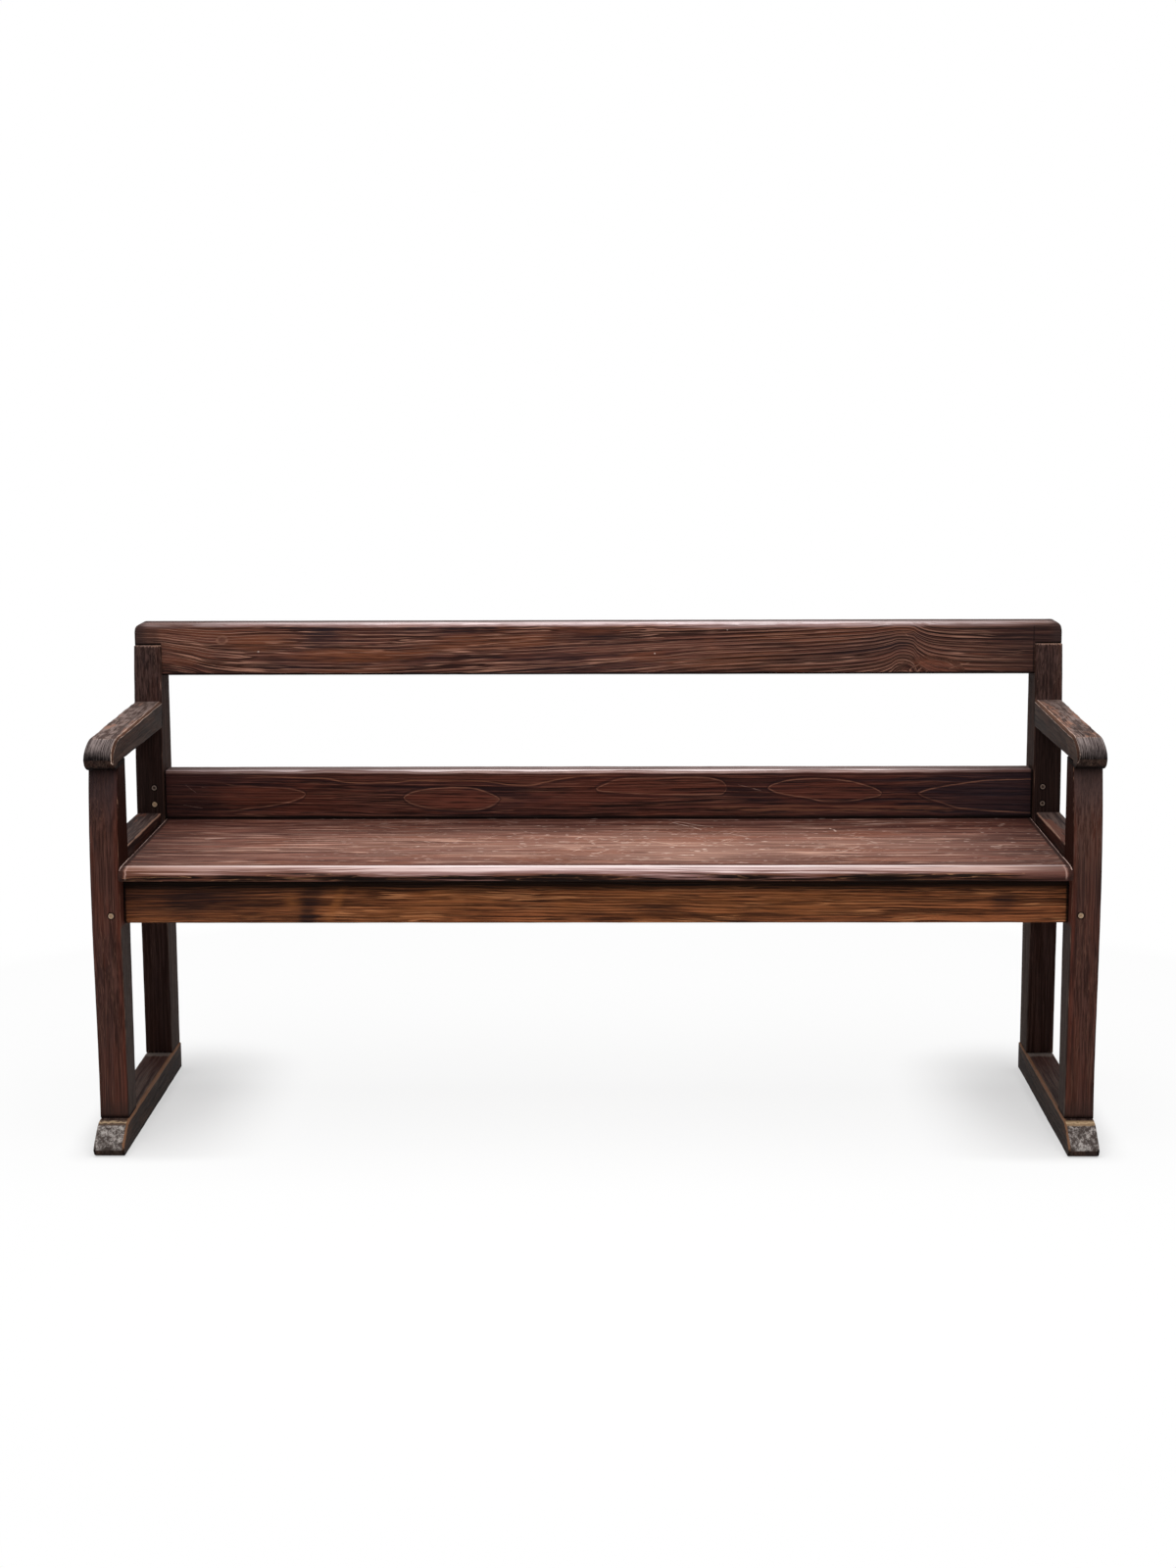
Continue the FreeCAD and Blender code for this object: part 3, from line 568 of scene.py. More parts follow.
def crestMarks(made, part, colour, height):
    spot, streak = part["spot"], part["streak"]
    wave = (part["smudge"] - 0.5) * 3.0
    colour = made.patches(colour, (132, 78, 52), spot, crest["warmPatches"], wave, 0.5,
                          part["fibre"].between(0.40, 0.58, 0.35, 1.0))
    colour = made.patches(colour, (42, 33, 38), spot, crest["darkPatches"], wave, 0.5,
                          streak.between(0.36, 0.54, 1.0, 0.55))
    knot = made.patch(spot, crest["knot"], (0.0085, 0.0062), 10, wave * 0.2, 0.9)
    colour = made.over(colour, (100, 66, 56), knot * 0.6)
    colour = made.over(colour, (148, 104, 86), knot.near(0.5, 0.30) * streak.between(0.42, 0.54) * 0.7)
    bright = (206, 180, 166)
    for start, end, reach in crest["scratches"]:
        mark = made.stroke((spot[0], spot[1] + part["ripple"] * 0.012), start, end, reach)
        colour = made.over(colour, (156, 114, 94), mark * streak.between(0.42, 0.54, 0.1, 0.75))
    for centre, size in crest["dots"]:
        colour = made.over(colour, bright, made.patch(spot, centre, (size, size * 0.8), soft=0.3))
    # Wider grain lines over the right-hand part
    figured = (spot[0].between(0.06, 0.28) * spot[0].between(0.60, 0.70, 1.0, 0.35)
               * (1 - made.patch(spot, crest["arch"]["centre"], crest["arch"]["size"], soft=0.3)))
    coarse = (part["rings"] * 0.62).fraction()
    colour = made.over(colour, (36, 23, 20), coarse.near(0.30, 0.22) * figured * 0.75)
    colour = made.over(colour, (178, 132, 112),
                       coarse.near(0.62, 0.16) * figured * streak.between(0.40, 0.54, 0.3, 1.0) * 0.45)
    farRight = spot[0].between(0.57, 0.72)
    colour = made.layers(colour, [
        ((38, 27, 28), farRight * 0.7),
        # Painted shade along the bottom edge
        ((30, 17, 15), spot[1].between(0.6895, 0.6920, 1.0, 0.0) * 0.7),
        ((30, 21, 20), spot[0].near(0.7215, 0.0014) * 0.8),
        ((52, 38, 36), spot[0].between(-0.735, -0.722, 1.0, 0.0) * 0.45),
        ((60, 42, 38), spot[0].between(-0.735, -0.700, 1.0, 0.0) * 0.35),
        ((22, 15, 14), abs(spot[0]).between(0.7632, 0.7660) * 0.8),
    ])
    # The rubbed top, worn and lit by a painted highlight: bright at the front arris, thinning out raggedly
    # down the face, and dark at the back as painted shade
    level = spot[1] + (part["strong"] - 0.5) * 0.010 + (streak - 0.5) * 0.014
    share = spot[0].curve(crest["rubbed"]) + (part["smudge"] - 0.5) * 0.9
    low = made.over((76, 52, 46), (168, 136, 132), share)
    high = made.over((112, 88, 82), (230, 212, 212), share)
    tone = made.over(low, high, level.between(0.7700, 0.7732))
    tone = made.over(tone, (112, 78, 70), part["fibre"].between(0.49, 0.58) * 0.55)
    colour = made.over(colour, tone, level.between(0.7660, 0.7695) * 0.95)
    # Painted shade along the back arris of the top
    rear = (part["through"] + (streak - 0.5) * 0.010).between(0.217, 0.228) * spot[1].between(0.772, 0.7735)
    colour = made.over(colour, (66, 46, 42), rear * 0.92)
    colour = made.over(colour, (56, 42, 40), abs(spot[0]).between(0.742, 0.760) * 0.75)
    return colour, height


def makeCrest(piece):
    low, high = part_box("crest_rail")
    end, radius = high.x, piece["cornerRadius"]
    turn = np.linspace(0, np.pi / 2, 9)
    rightTop = np.stack([end - radius * (1 - np.sin(turn)), high.z - radius * (1 - np.cos(turn))], -1)
    upper = np.concatenate([rightTop[::-1] * (-1, 1), rightTop])
    upper = upper[np.argsort(upper[:, 0])]
    xs = np.unique(np.r_[upper[:, 0], -railEnd - 1e-4, -railEnd, railEnd, railEnd + 1e-4])
    upper = np.stack([xs, np.interp(xs, upper[:, 0], upper[:, 1])], -1)
    lower = np.stack([xs, np.where(np.abs(xs) > railEnd + 5e-5, piece["earBottom"], low.z)], -1)
    run = runAlong((lower + upper) / 2)
    member("crestRail", ["crest_rail"], "X", lower, upper, (low.y, high.y), piece,
           wood("crestWood", "X", {**piece["look"], "figure": crestArches}, crestBend, crestMarks),
           extra=run)


makeCrest(crest)

# Lower back rail. Each lens is a grain layer that comes to the face: two edges that meet at its tips
lowerRail = {
    "arris": (0.002, 0.002, 0.003, 0.0045), "wear": (0.0, 0.1, 0.3, 0.2),
    "wearReach": (0.003, 0.002, 0.004, 0.004),
    # Along the front bottom arris: dirt and painted shade where the rail meets the seat
    "grime": (1.1, 0.3, 0.0, 0.0), "dirtAndShadeReach": (0.0042, 0.003, 0.003, 0.003),
    "endRound": (0.0008, 0.0008), "endDirtAndShade": (0.9, 0.9), "endDirtAndShadeReach": 0.0022, "step": 0.004, "seed": 12,
    "lenses": (
        {"upper": ((-0.700, 0.5135), (-0.6317, 0.5108), (-0.6072, 0.5058), (-0.5629, 0.5025),
                   (-0.5203, 0.500), (-0.4980, 0.4955), (-0.4876, 0.490)),
         "lower": ((-0.700, 0.4520), (-0.6611, 0.4568), (-0.5984, 0.4634), (-0.5357, 0.4717),
                   (-0.496, 0.4823),
                   (-0.4876, 0.490)), "show": (-0.68, -0.56), "fill": (98, 52, 38), "share": 0.45},
        {"upper": ((-0.3236, 0.4838), (-0.318, 0.4882), (-0.305, 0.4938), (-0.288, 0.4977), (-0.265, 0.5004),
                   (-0.240, 0.5014), (-0.2135, 0.5002), (-0.195, 0.4966), (-0.180, 0.4912), (-0.170, 0.4858),
                   (-0.1635, 0.4799)),
         "lower": ((-0.3236, 0.4838), (-0.3195, 0.4785), (-0.310, 0.4735), (-0.295, 0.4690),
                   (-0.272, 0.4650), (-0.245, 0.4627), (-0.2139, 0.4622), (-0.195, 0.4641),
                   (-0.180, 0.4680), (-0.170, 0.4734), (-0.1635, 0.4799)), "show": (-0.34, -0.33),
         "fill": (116, 62, 48), "share": 0.6},
        {"upper": ((-0.0022, 0.4984), (0.0140, 0.5060), (0.0501, 0.5156), (0.1106, 0.5179), (0.1727, 0.5178),
                   (0.2004, 0.5138), (0.2110, 0.5080), (0.2152, 0.4996)),
         "lower": ((-0.0022, 0.4984), (0.019, 0.4921), (0.1106, 0.4889), (0.2038, 0.4888), (0.2120, 0.4925),
                   (0.2152, 0.4996)), "show": (-0.02, -0.01), "fill": (110, 62, 48), "share": 0.55},
        {"upper": ((0.2838, 0.4989), (0.3000, 0.5085), (0.3359, 0.5151), (0.4044, 0.5137), (0.4437, 0.5056),
                   (0.4650, 0.4975), (0.4732, 0.4912)),
         "lower": ((0.2838, 0.4989), (0.3068, 0.4896), (0.3493, 0.4816), (0.3918, 0.4753), (0.457, 0.4829),
                   (0.4690, 0.4860), (0.4732, 0.4912)), "show": (0.26, 0.27), "fill": (104, 58, 46),
                   "share": 0.55},
        {"upper": ((0.5336, 0.490), (0.5480, 0.4955), (0.5676, 0.5002), (0.6131, 0.5086), (0.6537, 0.5126),
                   (0.7300, 0.5140)),
         "lower": ((0.5336, 0.490), (0.5440, 0.4830), (0.5681, 0.4752), (0.6074, 0.4646), (0.6548, 0.4600),
                   (0.7300, 0.4560)), "show": (0.50, 0.51), "fill": (52, 36, 38), "share": 0.5},
    ),
    "wave": ((-0.60, 0.5215), (-0.551, 0.5199), (-0.4494, 0.5149), (-0.4019, 0.5089), (-0.3429, 0.5088),
             (-0.3035, 0.5123), (-0.2134, 0.5122), (-0.1659, 0.5081), (-0.1266, 0.5047), (-0.0889, 0.5097),
             (-0.0431, 0.5171), (-0.012, 0.5202), (0.05, 0.523)),
    "scratches": (((0.2348, 0.5062), (0.2724, 0.4954), 0.0007, 0.5),
                  ((-0.6877, 0.5067), (-0.6701, 0.4884), 0.0007, 0.3),
                  ((-0.6919, 0.4734), (-0.6800, 0.4705), 0.0009, 0.45),
                  ((-0.6800, 0.4705), (-0.6608, 0.4684), 0.0008, 0.35),
                  ((-0.6610, 0.5030), (-0.6500, 0.5005), 0.0008, 0.3)),
    "rubbed": ((-0.73, 0.0), (-0.65, 0.15), (-0.52, 0.5), (-0.39, 0.6), (-0.245, 0.85), (-0.07, 1.0),
               (0.075, 0.9), (0.36, 0.95), (0.51, 0.7), (0.60, 0.3), (0.67, 0.1), (0.73, 0.0)),
    "look": {
        "dark": (38, 21, 19), "mid": (98, 57, 48), "line": (142, 92, 74), "shade": (44, 31, 35),
        "warm": (108, 56, 43), "worn": (120, 92, 84), "wornWarm": (110, 80, 70), "seed": 4.3,
        "pith": (-0.02, 0.1865), "ringSpacing": 0.0085, "lineShare": 0.35, "darkLineShare": 0.45,
        "hairShare": 0.4, "hairScale": (2.8, 130.0), "warmShare": 0.4, "shadeShare": 0.4,
        "streakScale": (2.2, 140.0), "contrast": 0.06,
    },
}


def lowerRailMarks(made, part, colour, height):
    along, across = part["spot"]
    across = across + part["ripple"] * 0.006
    streak, fibre = part["streak"], part["fibre"]
    # Purple at the right, maroon at the left end, and a stripe of pale orange low on the right
    colour = made.layers(colour, [
        ((42, 29, 34), along.between(0.10, 0.60) * streak.between(0.40, 0.56, 0.75, 0.15)),
        ((44, 34, 40), along.between(0.48, 0.66) * 0.6),
        ((40, 23, 24), along.between(-0.66, -0.58, 1.0, 0.0) * 0.5),
    ])
    stripe = across.near(0.4640, 0.0075) * along.between(0.16, 0.22) * along.between(0.56, 0.68, 1.0, 0.0)
    colour = made.over(colour, (124, 80, 60), stripe * fibre.between(0.44, 0.56) * 0.7)
    broken = part["strong"].between(0.40, 0.54, 0.35, 1.0) * fibre.between(0.40, 0.54, 0.5, 1.0)
    for lens in lowerRail["lenses"]:
        inside = (along.curve(lens["upper"]) - across).least(across - along.curve(lens["lower"]))
        shown = along.between(*lens["show"])
        fill = inside.between(0.0, 0.004) * shown * lens["share"]
        colour = made.over(colour, lens["fill"],
                           fill * (streak * 0.5 + fibre * 0.5).between(0.44, 0.56, 0.15, 1.0))
        rim = inside.near(0.0006, 0.0014) * shown * broken
        colour = made.over(colour, (152, 104, 84), rim * 0.72)
        halo = inside.near(-0.0030, 0.0028) * shown
        colour = made.over(colour, (38, 23, 25), halo * 0.5)
    wave = across - along.curve(lowerRail["wave"])
    reach = along.between(-0.60, -0.52) * along.between(0.0, 0.05, 1.0, 0.0)
    colour = made.layers(colour, [
        ((150, 100, 78), wave.near(0.0, 0.0014) * reach * broken * 0.75),
        ((104, 60, 48), wave.between(0.0, 0.004) * reach * 0.5
         * part["fibre"].between(0.42, 0.58, 0.4, 1.0)),
        ((44, 26, 28), wave.near(-0.0035, 0.003) * reach * 0.5),
    ])
    for start, end, size, share in lowerRail["scratches"]:
        mark = made.stroke((along, across + part["ripple"] * 0.012), start, end, size)
        colour = made.over(colour, (168, 136, 124), mark * fibre.between(0.42, 0.54, 0.3, 1.0) * share)
    # The ledge, worn and lit by a painted highlight: grey-brown on top, bright along the front arris, a
    # second pale line just below it, then a dark line under the band as painted shade
    level = across + (part["strong"] - 0.5) * 0.004 + (streak - 0.5) * 0.004
    share = along.curve(lowerRail["rubbed"]) + (part["smudge"] - 0.5) * 0.8
    flat = made.over((84, 64, 60), (152, 130, 126), share * fibre.between(0.42, 0.58, 0.4, 1.0))
    bright = made.over((108, 82, 80), (244, 224, 222), share)
    below = made.over((76, 50, 46), (150, 118, 112), share)
    tone = made.over(below, bright, level.between(0.5276, 0.5288))
    tone = made.over(tone, made.over((90, 64, 58), (200, 170, 162), share),
                     level.near(0.5260, 0.0010) * 0.9)
    tone = made.over(tone, flat, (part["through"] + (streak - 0.5) * 0.012).between(0.1935, 0.1985))
    colour = made.layers(colour, [
        (tone, level.between(0.5236, 0.5250)),
        # Painted shade under the ledge band
        ((40, 24, 22), level.near(0.5226, 0.0014) * 0.6),
        ((20, 13, 12), abs(along).between(0.7195, 0.7220) * 0.8),
    ])
    return colour, height


def makeLowerRail(piece):
    low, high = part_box("lower_back_rail")
    lower, upper = straight(-railEnd, railEnd, low.z, high.z)
    member("lowerBackRail", ["lower_back_rail"], "X", lower, upper, (low.y, high.y), piece,
           wood("lowerRailWood", "X", piece["look"], None, lowerRailMarks))


makeLowerRail(lowerRail)

# Apron and rear seat rail
apron = {
    "arris": (0.002, 0.002, 0.002, 0.002), "wear": (0.25, 0.1, 0.1, 0.0),
    "wearReach": (0.002, 0.002, 0.003, 0.003),
    # Along the front top arris: painted shade under the nosing
    "grime": (0.5, 0.0, 0.3, 0.6), "dirtAndShadeReach": (0.0022, 0.003, 0.004, 0.006),
    "endRound": (0.001, 0.001), "endDirtAndShade": (1.1, 1.1), "endDirtAndShadeReach": 0.0032, "step": 0.005, "seed": 13,
    "darkPatches": (((-0.432, 0.392), (0.040, 0.020), 62, 0.85), ((-0.440, 0.362), (0.016, 0.012), 80, 0.8),
                    ((-0.625, 0.388), (0.030, 0.026), -14, 0.75), ((-0.575, 0.398), (0.035, 0.010), 0, 0.6),
                    ((0.624, 0.387), (0.014, 0.012), 20, 0.7), ((0.4135, 0.358), (0.035, 0.0032), 3, 0.8),
                    ((0.10, 0.372), (0.04, 0.012), 0, 0.4), ((-0.70, 0.397), (0.05, 0.007), -3, 0.5)),
    "flames": (((-0.3955, 0.385), (0.035, 0.0085), 64, 0.85), ((-0.46, 0.384), (0.012, 0.014), 70, 0.6),
               ((-0.230, 0.392), (0.060, 0.014), 0, 0.45), ((-0.045, 0.380), (0.010, 0.022), 80, 0.6),
               ((0.075, 0.395), (0.060, 0.010), -6, 0.55), ((0.19, 0.382), (0.03, 0.016), 0, 0.35),
               ((0.33, 0.384), (0.090, 0.016), 2, 0.4), ((-0.30, 0.366), (0.07, 0.010), 0, 0.35)),
    "look": {
        "dark": (62, 34, 21), "mid": (164, 97, 60), "line": (206, 136, 90), "shade": (66, 42, 34),
        "warm": (150, 88, 50), "worn": (122, 84, 62), "wornWarm": (132, 88, 60), "seed": 7.9,
        "pith": (-0.10, -0.1915), "ringSpacing": 0.0048, "ringTaper": 0.006, "warmShare": 0.4,
        "shadeShare": 0.25, "lineShare": 0.6, "darkLineShare": 0.85, "hairScale": (4.0, 170.0),
        "hairShare": 0.7, "contrast": 0.06, "streakScale": (2.6, 190.0), "fibreScale": (12.0, 480.0),
    },
}
rearRail = {
    "arris": (0.002, 0.002, 0.002, 0.002), "wear": (0.2, 0.4, 0.1, 0.1),
    "wearReach": (0.003, 0.003, 0.003, 0.003),
    "endRound": (0.001, 0.001), "endDirtAndShade": (0.9, 0.9), "step": 0.006, "seed": 14,
    "look": {"seed": 9.1, "pith": (-0.05, 0.2265), "ringSpacing": 0.006, "dark": (40, 24, 20),
             "mid": (80, 50, 40),
             "worn": (150, 120, 104)},
}


def apronMarks(made, part, colour, height):
    along, across = part["spot"]
    spot = (along, across)
    wave = (part["smudge"] - 0.5) * 3.5
    lined = part["fibre"].between(0.42, 0.56, 0.35, 1.0)
    # Redder and darker towards the left end, most of all in its upper half
    leftward = along.between(-0.60, -0.36, 1.0, 0.0)
    colour = made.over(colour, (54, 32, 27), leftward * across.between(0.358, 0.372, 0.2, 0.6))
    colour = made.patches(colour, (158, 96, 54), spot, apron["flames"], wave, 0.7, lined)
    colour = made.patches(colour, (36, 25, 26), spot, apron["darkPatches"], wave, 0.6,
                          part["streak"].between(0.38, 0.56, 1.0, 0.6))
    # Painted shadow under the nosing, fading downwards
    under = (across + (part["streak"] - 0.5) * 0.010).between(0.395, 0.4125)
    colour = made.over(colour, (12, 6, 4), under * 0.97)
    return colour, height


def makeSeatRails(apron, rearRail):
    for name, node, piece, marks in (("frontApron", "front_apron", apron, apronMarks),
                                     ("rearSeatRail", "rear_seat_rail", rearRail, None)):
        low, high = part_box(node)
        lower, upper = straight(-railEnd, railEnd, low.z, high.z)
        member(name, [node], "X", lower, upper, (low.y, high.y), piece,
               wood(name + "Wood", "X", piece["look"], None, marks))


makeSeatRails(apron, rearRail)
print("long rails made")

# Seat board. The nosing is (depth, height) points from the underside round to the top
seat = {
    "step": 0.004, "seed": 15, "cornerRadius": 0.009, "endStep": 0.002, "stepBack": -0.1415, "middle": 0.434,
    # Pale lines (wear and painted highlight on the end arris) and darker ones (dirt and painted shade) at
    # both ends: how far in, how wide
    "endBands": ((0.001, 0.0013), (0.006, 0.003)),
    "nosing": ((-0.2125, 0.4240), (-0.2280, 0.4240), (-0.2362, 0.4272), (-0.2385, 0.4316), (-0.2370, 0.4358),
               (-0.2322, 0.4388), (-0.2200, 0.4418), (-0.2035, 0.4440)),
    "scratches": (((-0.630, 0.010), (-0.600, 0.018), 0.6), ((0.124, 0.150), (0.172, 0.085), 0.55),
                  ((0.131, 0.158), (0.190, 0.105), 0.45), ((0.217, 0.048), (0.243, 0.026), 0.5),
                  ((0.444, 0.130), (0.500, 0.150), 0.5), ((0.382, 0.095), (0.387, 0.070), 0.7),
                  ((0.425, 0.000), (0.450, -0.030), 0.45), ((-0.080, -0.02), (-0.050, -0.05), 0.4)),
    "scuffs": ((56, 81.0), (-42, 87.0)),          # tilt in degrees and where its noise starts
    "rubbed": ((-0.73, 0.0), (-0.62, 0.15), (-0.45, 0.35), (-0.28, 0.7), (-0.1, 1.0), (0.15, 1.0),
               (0.3, 0.8), (0.45, 0.6), (0.60, 0.35), (0.73, 0.1)),
    "look": {
        "dark": (72, 41, 34), "mid": (131, 86, 73), "line": (192, 150, 132), "shade": (70, 46, 46),
        "warm": (156, 100, 76), "worn": (214, 188, 180), "wornWarm": (188, 150, 132), "seed": 2.6,
        "pith": (-0.40, 0.448), "ringSpacing": 0.021, "ringWander": 0.03, "lineShare": 0.45,
        "darkLineShare": 0.7, "hairScale": (2.4, 52.0), "hairShare": 0.85, "hairReach": 0.034,
        "streakScale": (2.2, 58.0), "fibreScale": (9.0, 150.0), "patchScale": (2.6, 9.0),
        "warmShare": 0.3, "shadeShare": 0.35, "poreShare": 0.7, "roughness": 0.6, "gloss": 0.05,
        "contrast": 0.055,
    },
}


def seatMarks(made, part, colour, height):
    along, depth = part["spot"]
    streak, fibre, smudge = part["streak"], part["fibre"], part["smudge"]
    grain, level = part["grain"], part["through"]
    # Lighter where people sit, darker at both ends and along the back
    wave = (smudge - 0.5) * 2.5
    lined = (streak * 0.6 + fibre * 0.4).between(0.45, 0.55)
    sat = made.patch((along, depth), (0.08, -0.045), (0.42, 0.105), 0, wave, 0.75)
    colour = made.over(colour, (188, 144, 126), sat * (1 - lined * 0.9) * 0.55)
    ends = (abs(along) + wave * 0.03).between(0.50, 0.71)
    colour = made.layers(colour, [
        ((60, 36, 32), ends * (0.85 - lined * 0.5)),
        ((60, 33, 28), (depth + wave * 0.02).between(0.015, 0.125) * (0.9 - lined * 0.45)),
        ((70, 42, 36), depth.between(-0.200, -0.170, 0.5, 0.0)),
    ])
    onTop = level.between(0.4380, 0.4405)
    colour = made.over(colour, (28, 15, 13), depth.between(0.174, 0.183) * onTop * 0.9)
    # Small pale ticks and scuffs, thickest where people sit
    ticks = made.noise(grain, (55.0, 170.0), 61.0, 1.0, 0.5).between(0.685, 0.72)
    where = (sat + 0.35) * along.between(-0.60, -0.30, 0.3, 1.0) * onTop
    colour = made.over(colour, (214, 186, 172), ticks * where * 0.75)
    for tilt, start in seat["scuffs"]:
        turn = (math.cos(math.radians(tilt)), math.sin(math.radians(tilt)))
        slanted = made.join(along * turn[0] + depth * turn[1], depth * turn[0] - along * turn[1], level)
        scuff = made.noise(slanted, (20.0, 230.0), start, 2.0, 0.5).between(0.665, 0.70)
        colour = made.over(colour, (208, 176, 160), scuff * where * smudge.between(0.48, 0.58) * 0.7)
    for start, end, share in seat["scratches"]:
        mark = made.stroke((along + part["ripple"] * 0.02, depth), start, end, 0.0022)
        colour = made.over(colour, (206, 178, 164), mark * fibre.between(0.40, 0.54, 0.3, 1.0) * share)

    # Nosing, by the share of the way round it: worn pale wood with a crisp painted highlight line at the top
    # break, streaks, then chipped, and dark underneath as painted shade
    lip = made.attribute("lip")
    ragged = lip + (made.noise(grain, (4.5, 130.0), 71.0, 3.0, 0.6) - 0.5) * 0.9
    rubbed = along.curve(seat["rubbed"]) + (smudge - 0.5) * 0.9
    pale = made.over((166, 126, 111), (216, 192, 189), rubbed)
    middle = made.over((92, 56, 44), (118, 84, 78), rubbed)
    chipped = made.noise(grain, (7.0, 130.0), 81.0, 3.0, 0.6)
    deep = made.over((26, 13, 9), (92, 56, 43), chipped.between(0.46, 0.58))
    gold = made.noise(grain, (9.0, 110.0), 91.0, 2.0, 0.5).near(0.50, 0.020)
    deep = made.over(deep, (176, 126, 92), gold * abs(along + 0.05).between(0.30, 0.60, 0.25, 0.8))
    tone = made.over(deep, middle, ragged.between(0.46, 0.53))
    tone = made.over(tone, pale, ragged.between(0.56, 0.70))
    streaked = made.noise(grain, (4.0, 170.0), 75.0, 3.0, 0.6).between(0.50, 0.56)
    tone = made.layers(tone, [
        (made.over((96, 56, 43), (140, 106, 102), rubbed),
         streaked * ragged.between(0.50, 0.58) * ragged.between(0.70, 0.95, 1.0, 0.5) * 0.85),
        # Painted highlight along the top break
        ((252, 238, 236), lip.near(0.950, 0.085) * (rubbed * 0.6 + 0.25)
         * streak.between(0.38, 0.52, 0.4, 1.0)),
        # Painted shade on the underside
        ((18, 8, 5), ragged.between(0.34, 0.46, 1.0, 0.0) * 0.95),
        ((76, 46, 41), along.between(0.60, 0.71) * (0.75 - streaked * 0.4)),
    ])
    colour = made.over(colour, tone, lip.between(0.02, 0.06) * lip.between(1.0, 1.07, 1.0, 0.0))
    # The rounded corners: a pale line where they begin as painted highlight, and a dark end as painted shade
    corner = abs(along) + (streak - 0.5) * 0.008
    rolled = lip.between(1.0, 1.07, 1.0, 0.0) * lip.between(0.34, 0.46)
    colour = made.layers(colour, [
        ((196, 160, 148), corner.near(0.7115, 0.0018) * rolled * 0.45),
        ((48, 29, 25), corner.between(0.7135, 0.7160) * lip.between(0.02, 0.06) * 0.88),
        ((58, 36, 31), corner.between(0.7185, 0.7212) * 0.9),
    ])
    return colour, height


def makeSeat(piece):
    # The side view of the board, a closed line of (depth, height), carried along the bench.
    # Towards each end the nosing draws back round a corner, and behind the posts the board is narrower.
    low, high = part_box("seat_board")
    nosing = smoothCurve(piece["nosing"], 46)
    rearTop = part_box("lower_back_rail")[0].y
    top = np.stack([np.linspace(nosing[-1, 0], rearTop, 60), np.linspace(nosing[-1, 1], high.z, 60)], -1)[1:]
    turn = np.linspace(0, np.pi / 2, 4)
    back = np.concatenate([
        np.stack([high.y - 0.002 + 0.002 * np.sin(turn), high.z - 0.002 + 0.002 * np.cos(turn)], -1),
        np.stack([high.y - 0.002 + 0.002 * np.cos(turn), low.z + 0.002 - 0.002 * np.sin(turn)], -1)])
    under = np.stack([np.linspace(back[-1, 0], nosing[0, 0], 20), np.full(20, low.z)], -1)[1:-1]
    profile = np.concatenate([nosing, top, back, under])
    stations = stationsAlong(2 * high.x, piece["step"], (0.009, 0.009))
    fromEnd = np.minimum(stations, 2 * high.x - stations)
    drawn = endInset(fromEnd, piece["cornerRadius"])[:, None]
    edge = endInset(fromEnd, 0.0016)[:, None]
    frontShare = np.clip((nosing[-1, 0] - profile[:, 0]) / (nosing[-1, 0] - low.y), 0, 1)[None, :]
    y = profile[None, :, 0] + drawn * frontShare - edge * np.sign(profile[None, :, 0]) * 0.3
    away = profile[None, :, 1] - piece["middle"]
    z = profile[None, :, 1] - edge * np.sign(away) * np.minimum(1, np.abs(away) / 0.004)
    narrow = piece["endStep"] * np.clip((y - piece["stepBack"]) / 0.001, 0, 1)
    x = np.clip(stations[:, None] - high.x, -high.x + narrow, high.x - narrow)
    rows = np.stack([x, y, z], -1)
    # Distance round the nosing as a share, 0 at the underside and 1 at the top break, and 1.5 past it
    share = runAlong(nosing)
    lip = np.r_[share / share[-1], np.full(len(top), 1.5), np.full(len(back) + len(under), 0.0)]
    lip = np.broadcast_to(lip, rows.shape[:2])
    upward = (profile[:, 1] > 0.4405) & (profile[:, 0] < rearTop + 0.001)
    # Pale line at the end arris (wear and painted highlight), darker band further in (dirt and painted
    # shade)
    atEnd, beforeEnd = (np.exp(-((fromEnd - at) / reach) ** 2)[:, None] for at, reach in piece["endBands"])
    wear = atEnd * upward
    grime = 0.45 * beforeEnd * (profile[:, 0] > -0.14) * upward
    capped = {key: np.concatenate([band[:1] * keep, band, band[-1:] * keep])
              for key, band, keep in (("wear", wear, 0), ("grime", grime, 0), ("lip", lip, 1))}
    inward = (1, 0.9, 0.6), (0, -0.0006, 0.4 * piece["middle"])
    rows = np.concatenate([rows[:1] * inward[0] + inward[1], rows, rows[-1:] * inward[0] + inward[1]])
    made = meshFrom("seatBoard", rows[None], {key: band[None] for key, band in capped.items()},
                    wood("seatWood", "XY", piece["look"], None, seatMarks))
    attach(made, "root")
    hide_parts("seat_board")


makeSeat(seat)
print("seat made")

# Posts, each as inner front, outer front, outer back, inner back
postLook = {
    "gloss": 0.01, "ringSpacing": 0.0050, "ringTaper": 0.004, "lineShare": 0.4, "darkLineShare": 0.45,
    "hairScale": (3.0, 230.0), "shadeShare": 0.35, "streakScale": (2.0, 230.0),
    "fibreScale": (11.0, 520.0), "patchScale": (4.0, 26.0),
}
frontPost = {
    "arris": (0.0026, 0.0026, 0.0024, 0.0024), "wear": (0.38, 0.3, 0.2, 0.1), "wearReach": (0.0022,) * 4,
    "grime": (0.30, 0.0, 0.0, 0.0), "dirtAndShadeReach": (0.0028, 0.003, 0.003, 0.003),
    # The top end's dark band is painted shadow under the arm
    "endRound": (0.0008, 0.0008), "endDirtAndShade": (0.75, 1.15), "endDirtAndShadeReach": 0.0065,
    "step": 0.005, "seed": 21, "depth": 0.070, "datum": -0.2115,
    "bow": ((0.045, 0.009), (0.255, 0.00275), (0.465, -0.0035), (0.602, 0.013)),
    "look": {
        **postLook, "dark": (52, 33, 29), "mid": (85, 56, 49), "line": (112, 79, 66),
        "shade": (60, 45, 44), "warm": (94, 52, 40), "worn": (132, 96, 80), "pith": (0.40, -0.2115),
        "hairShare": 0.4, "warmShare": 0.35, "seed": 1.1,
    },
}
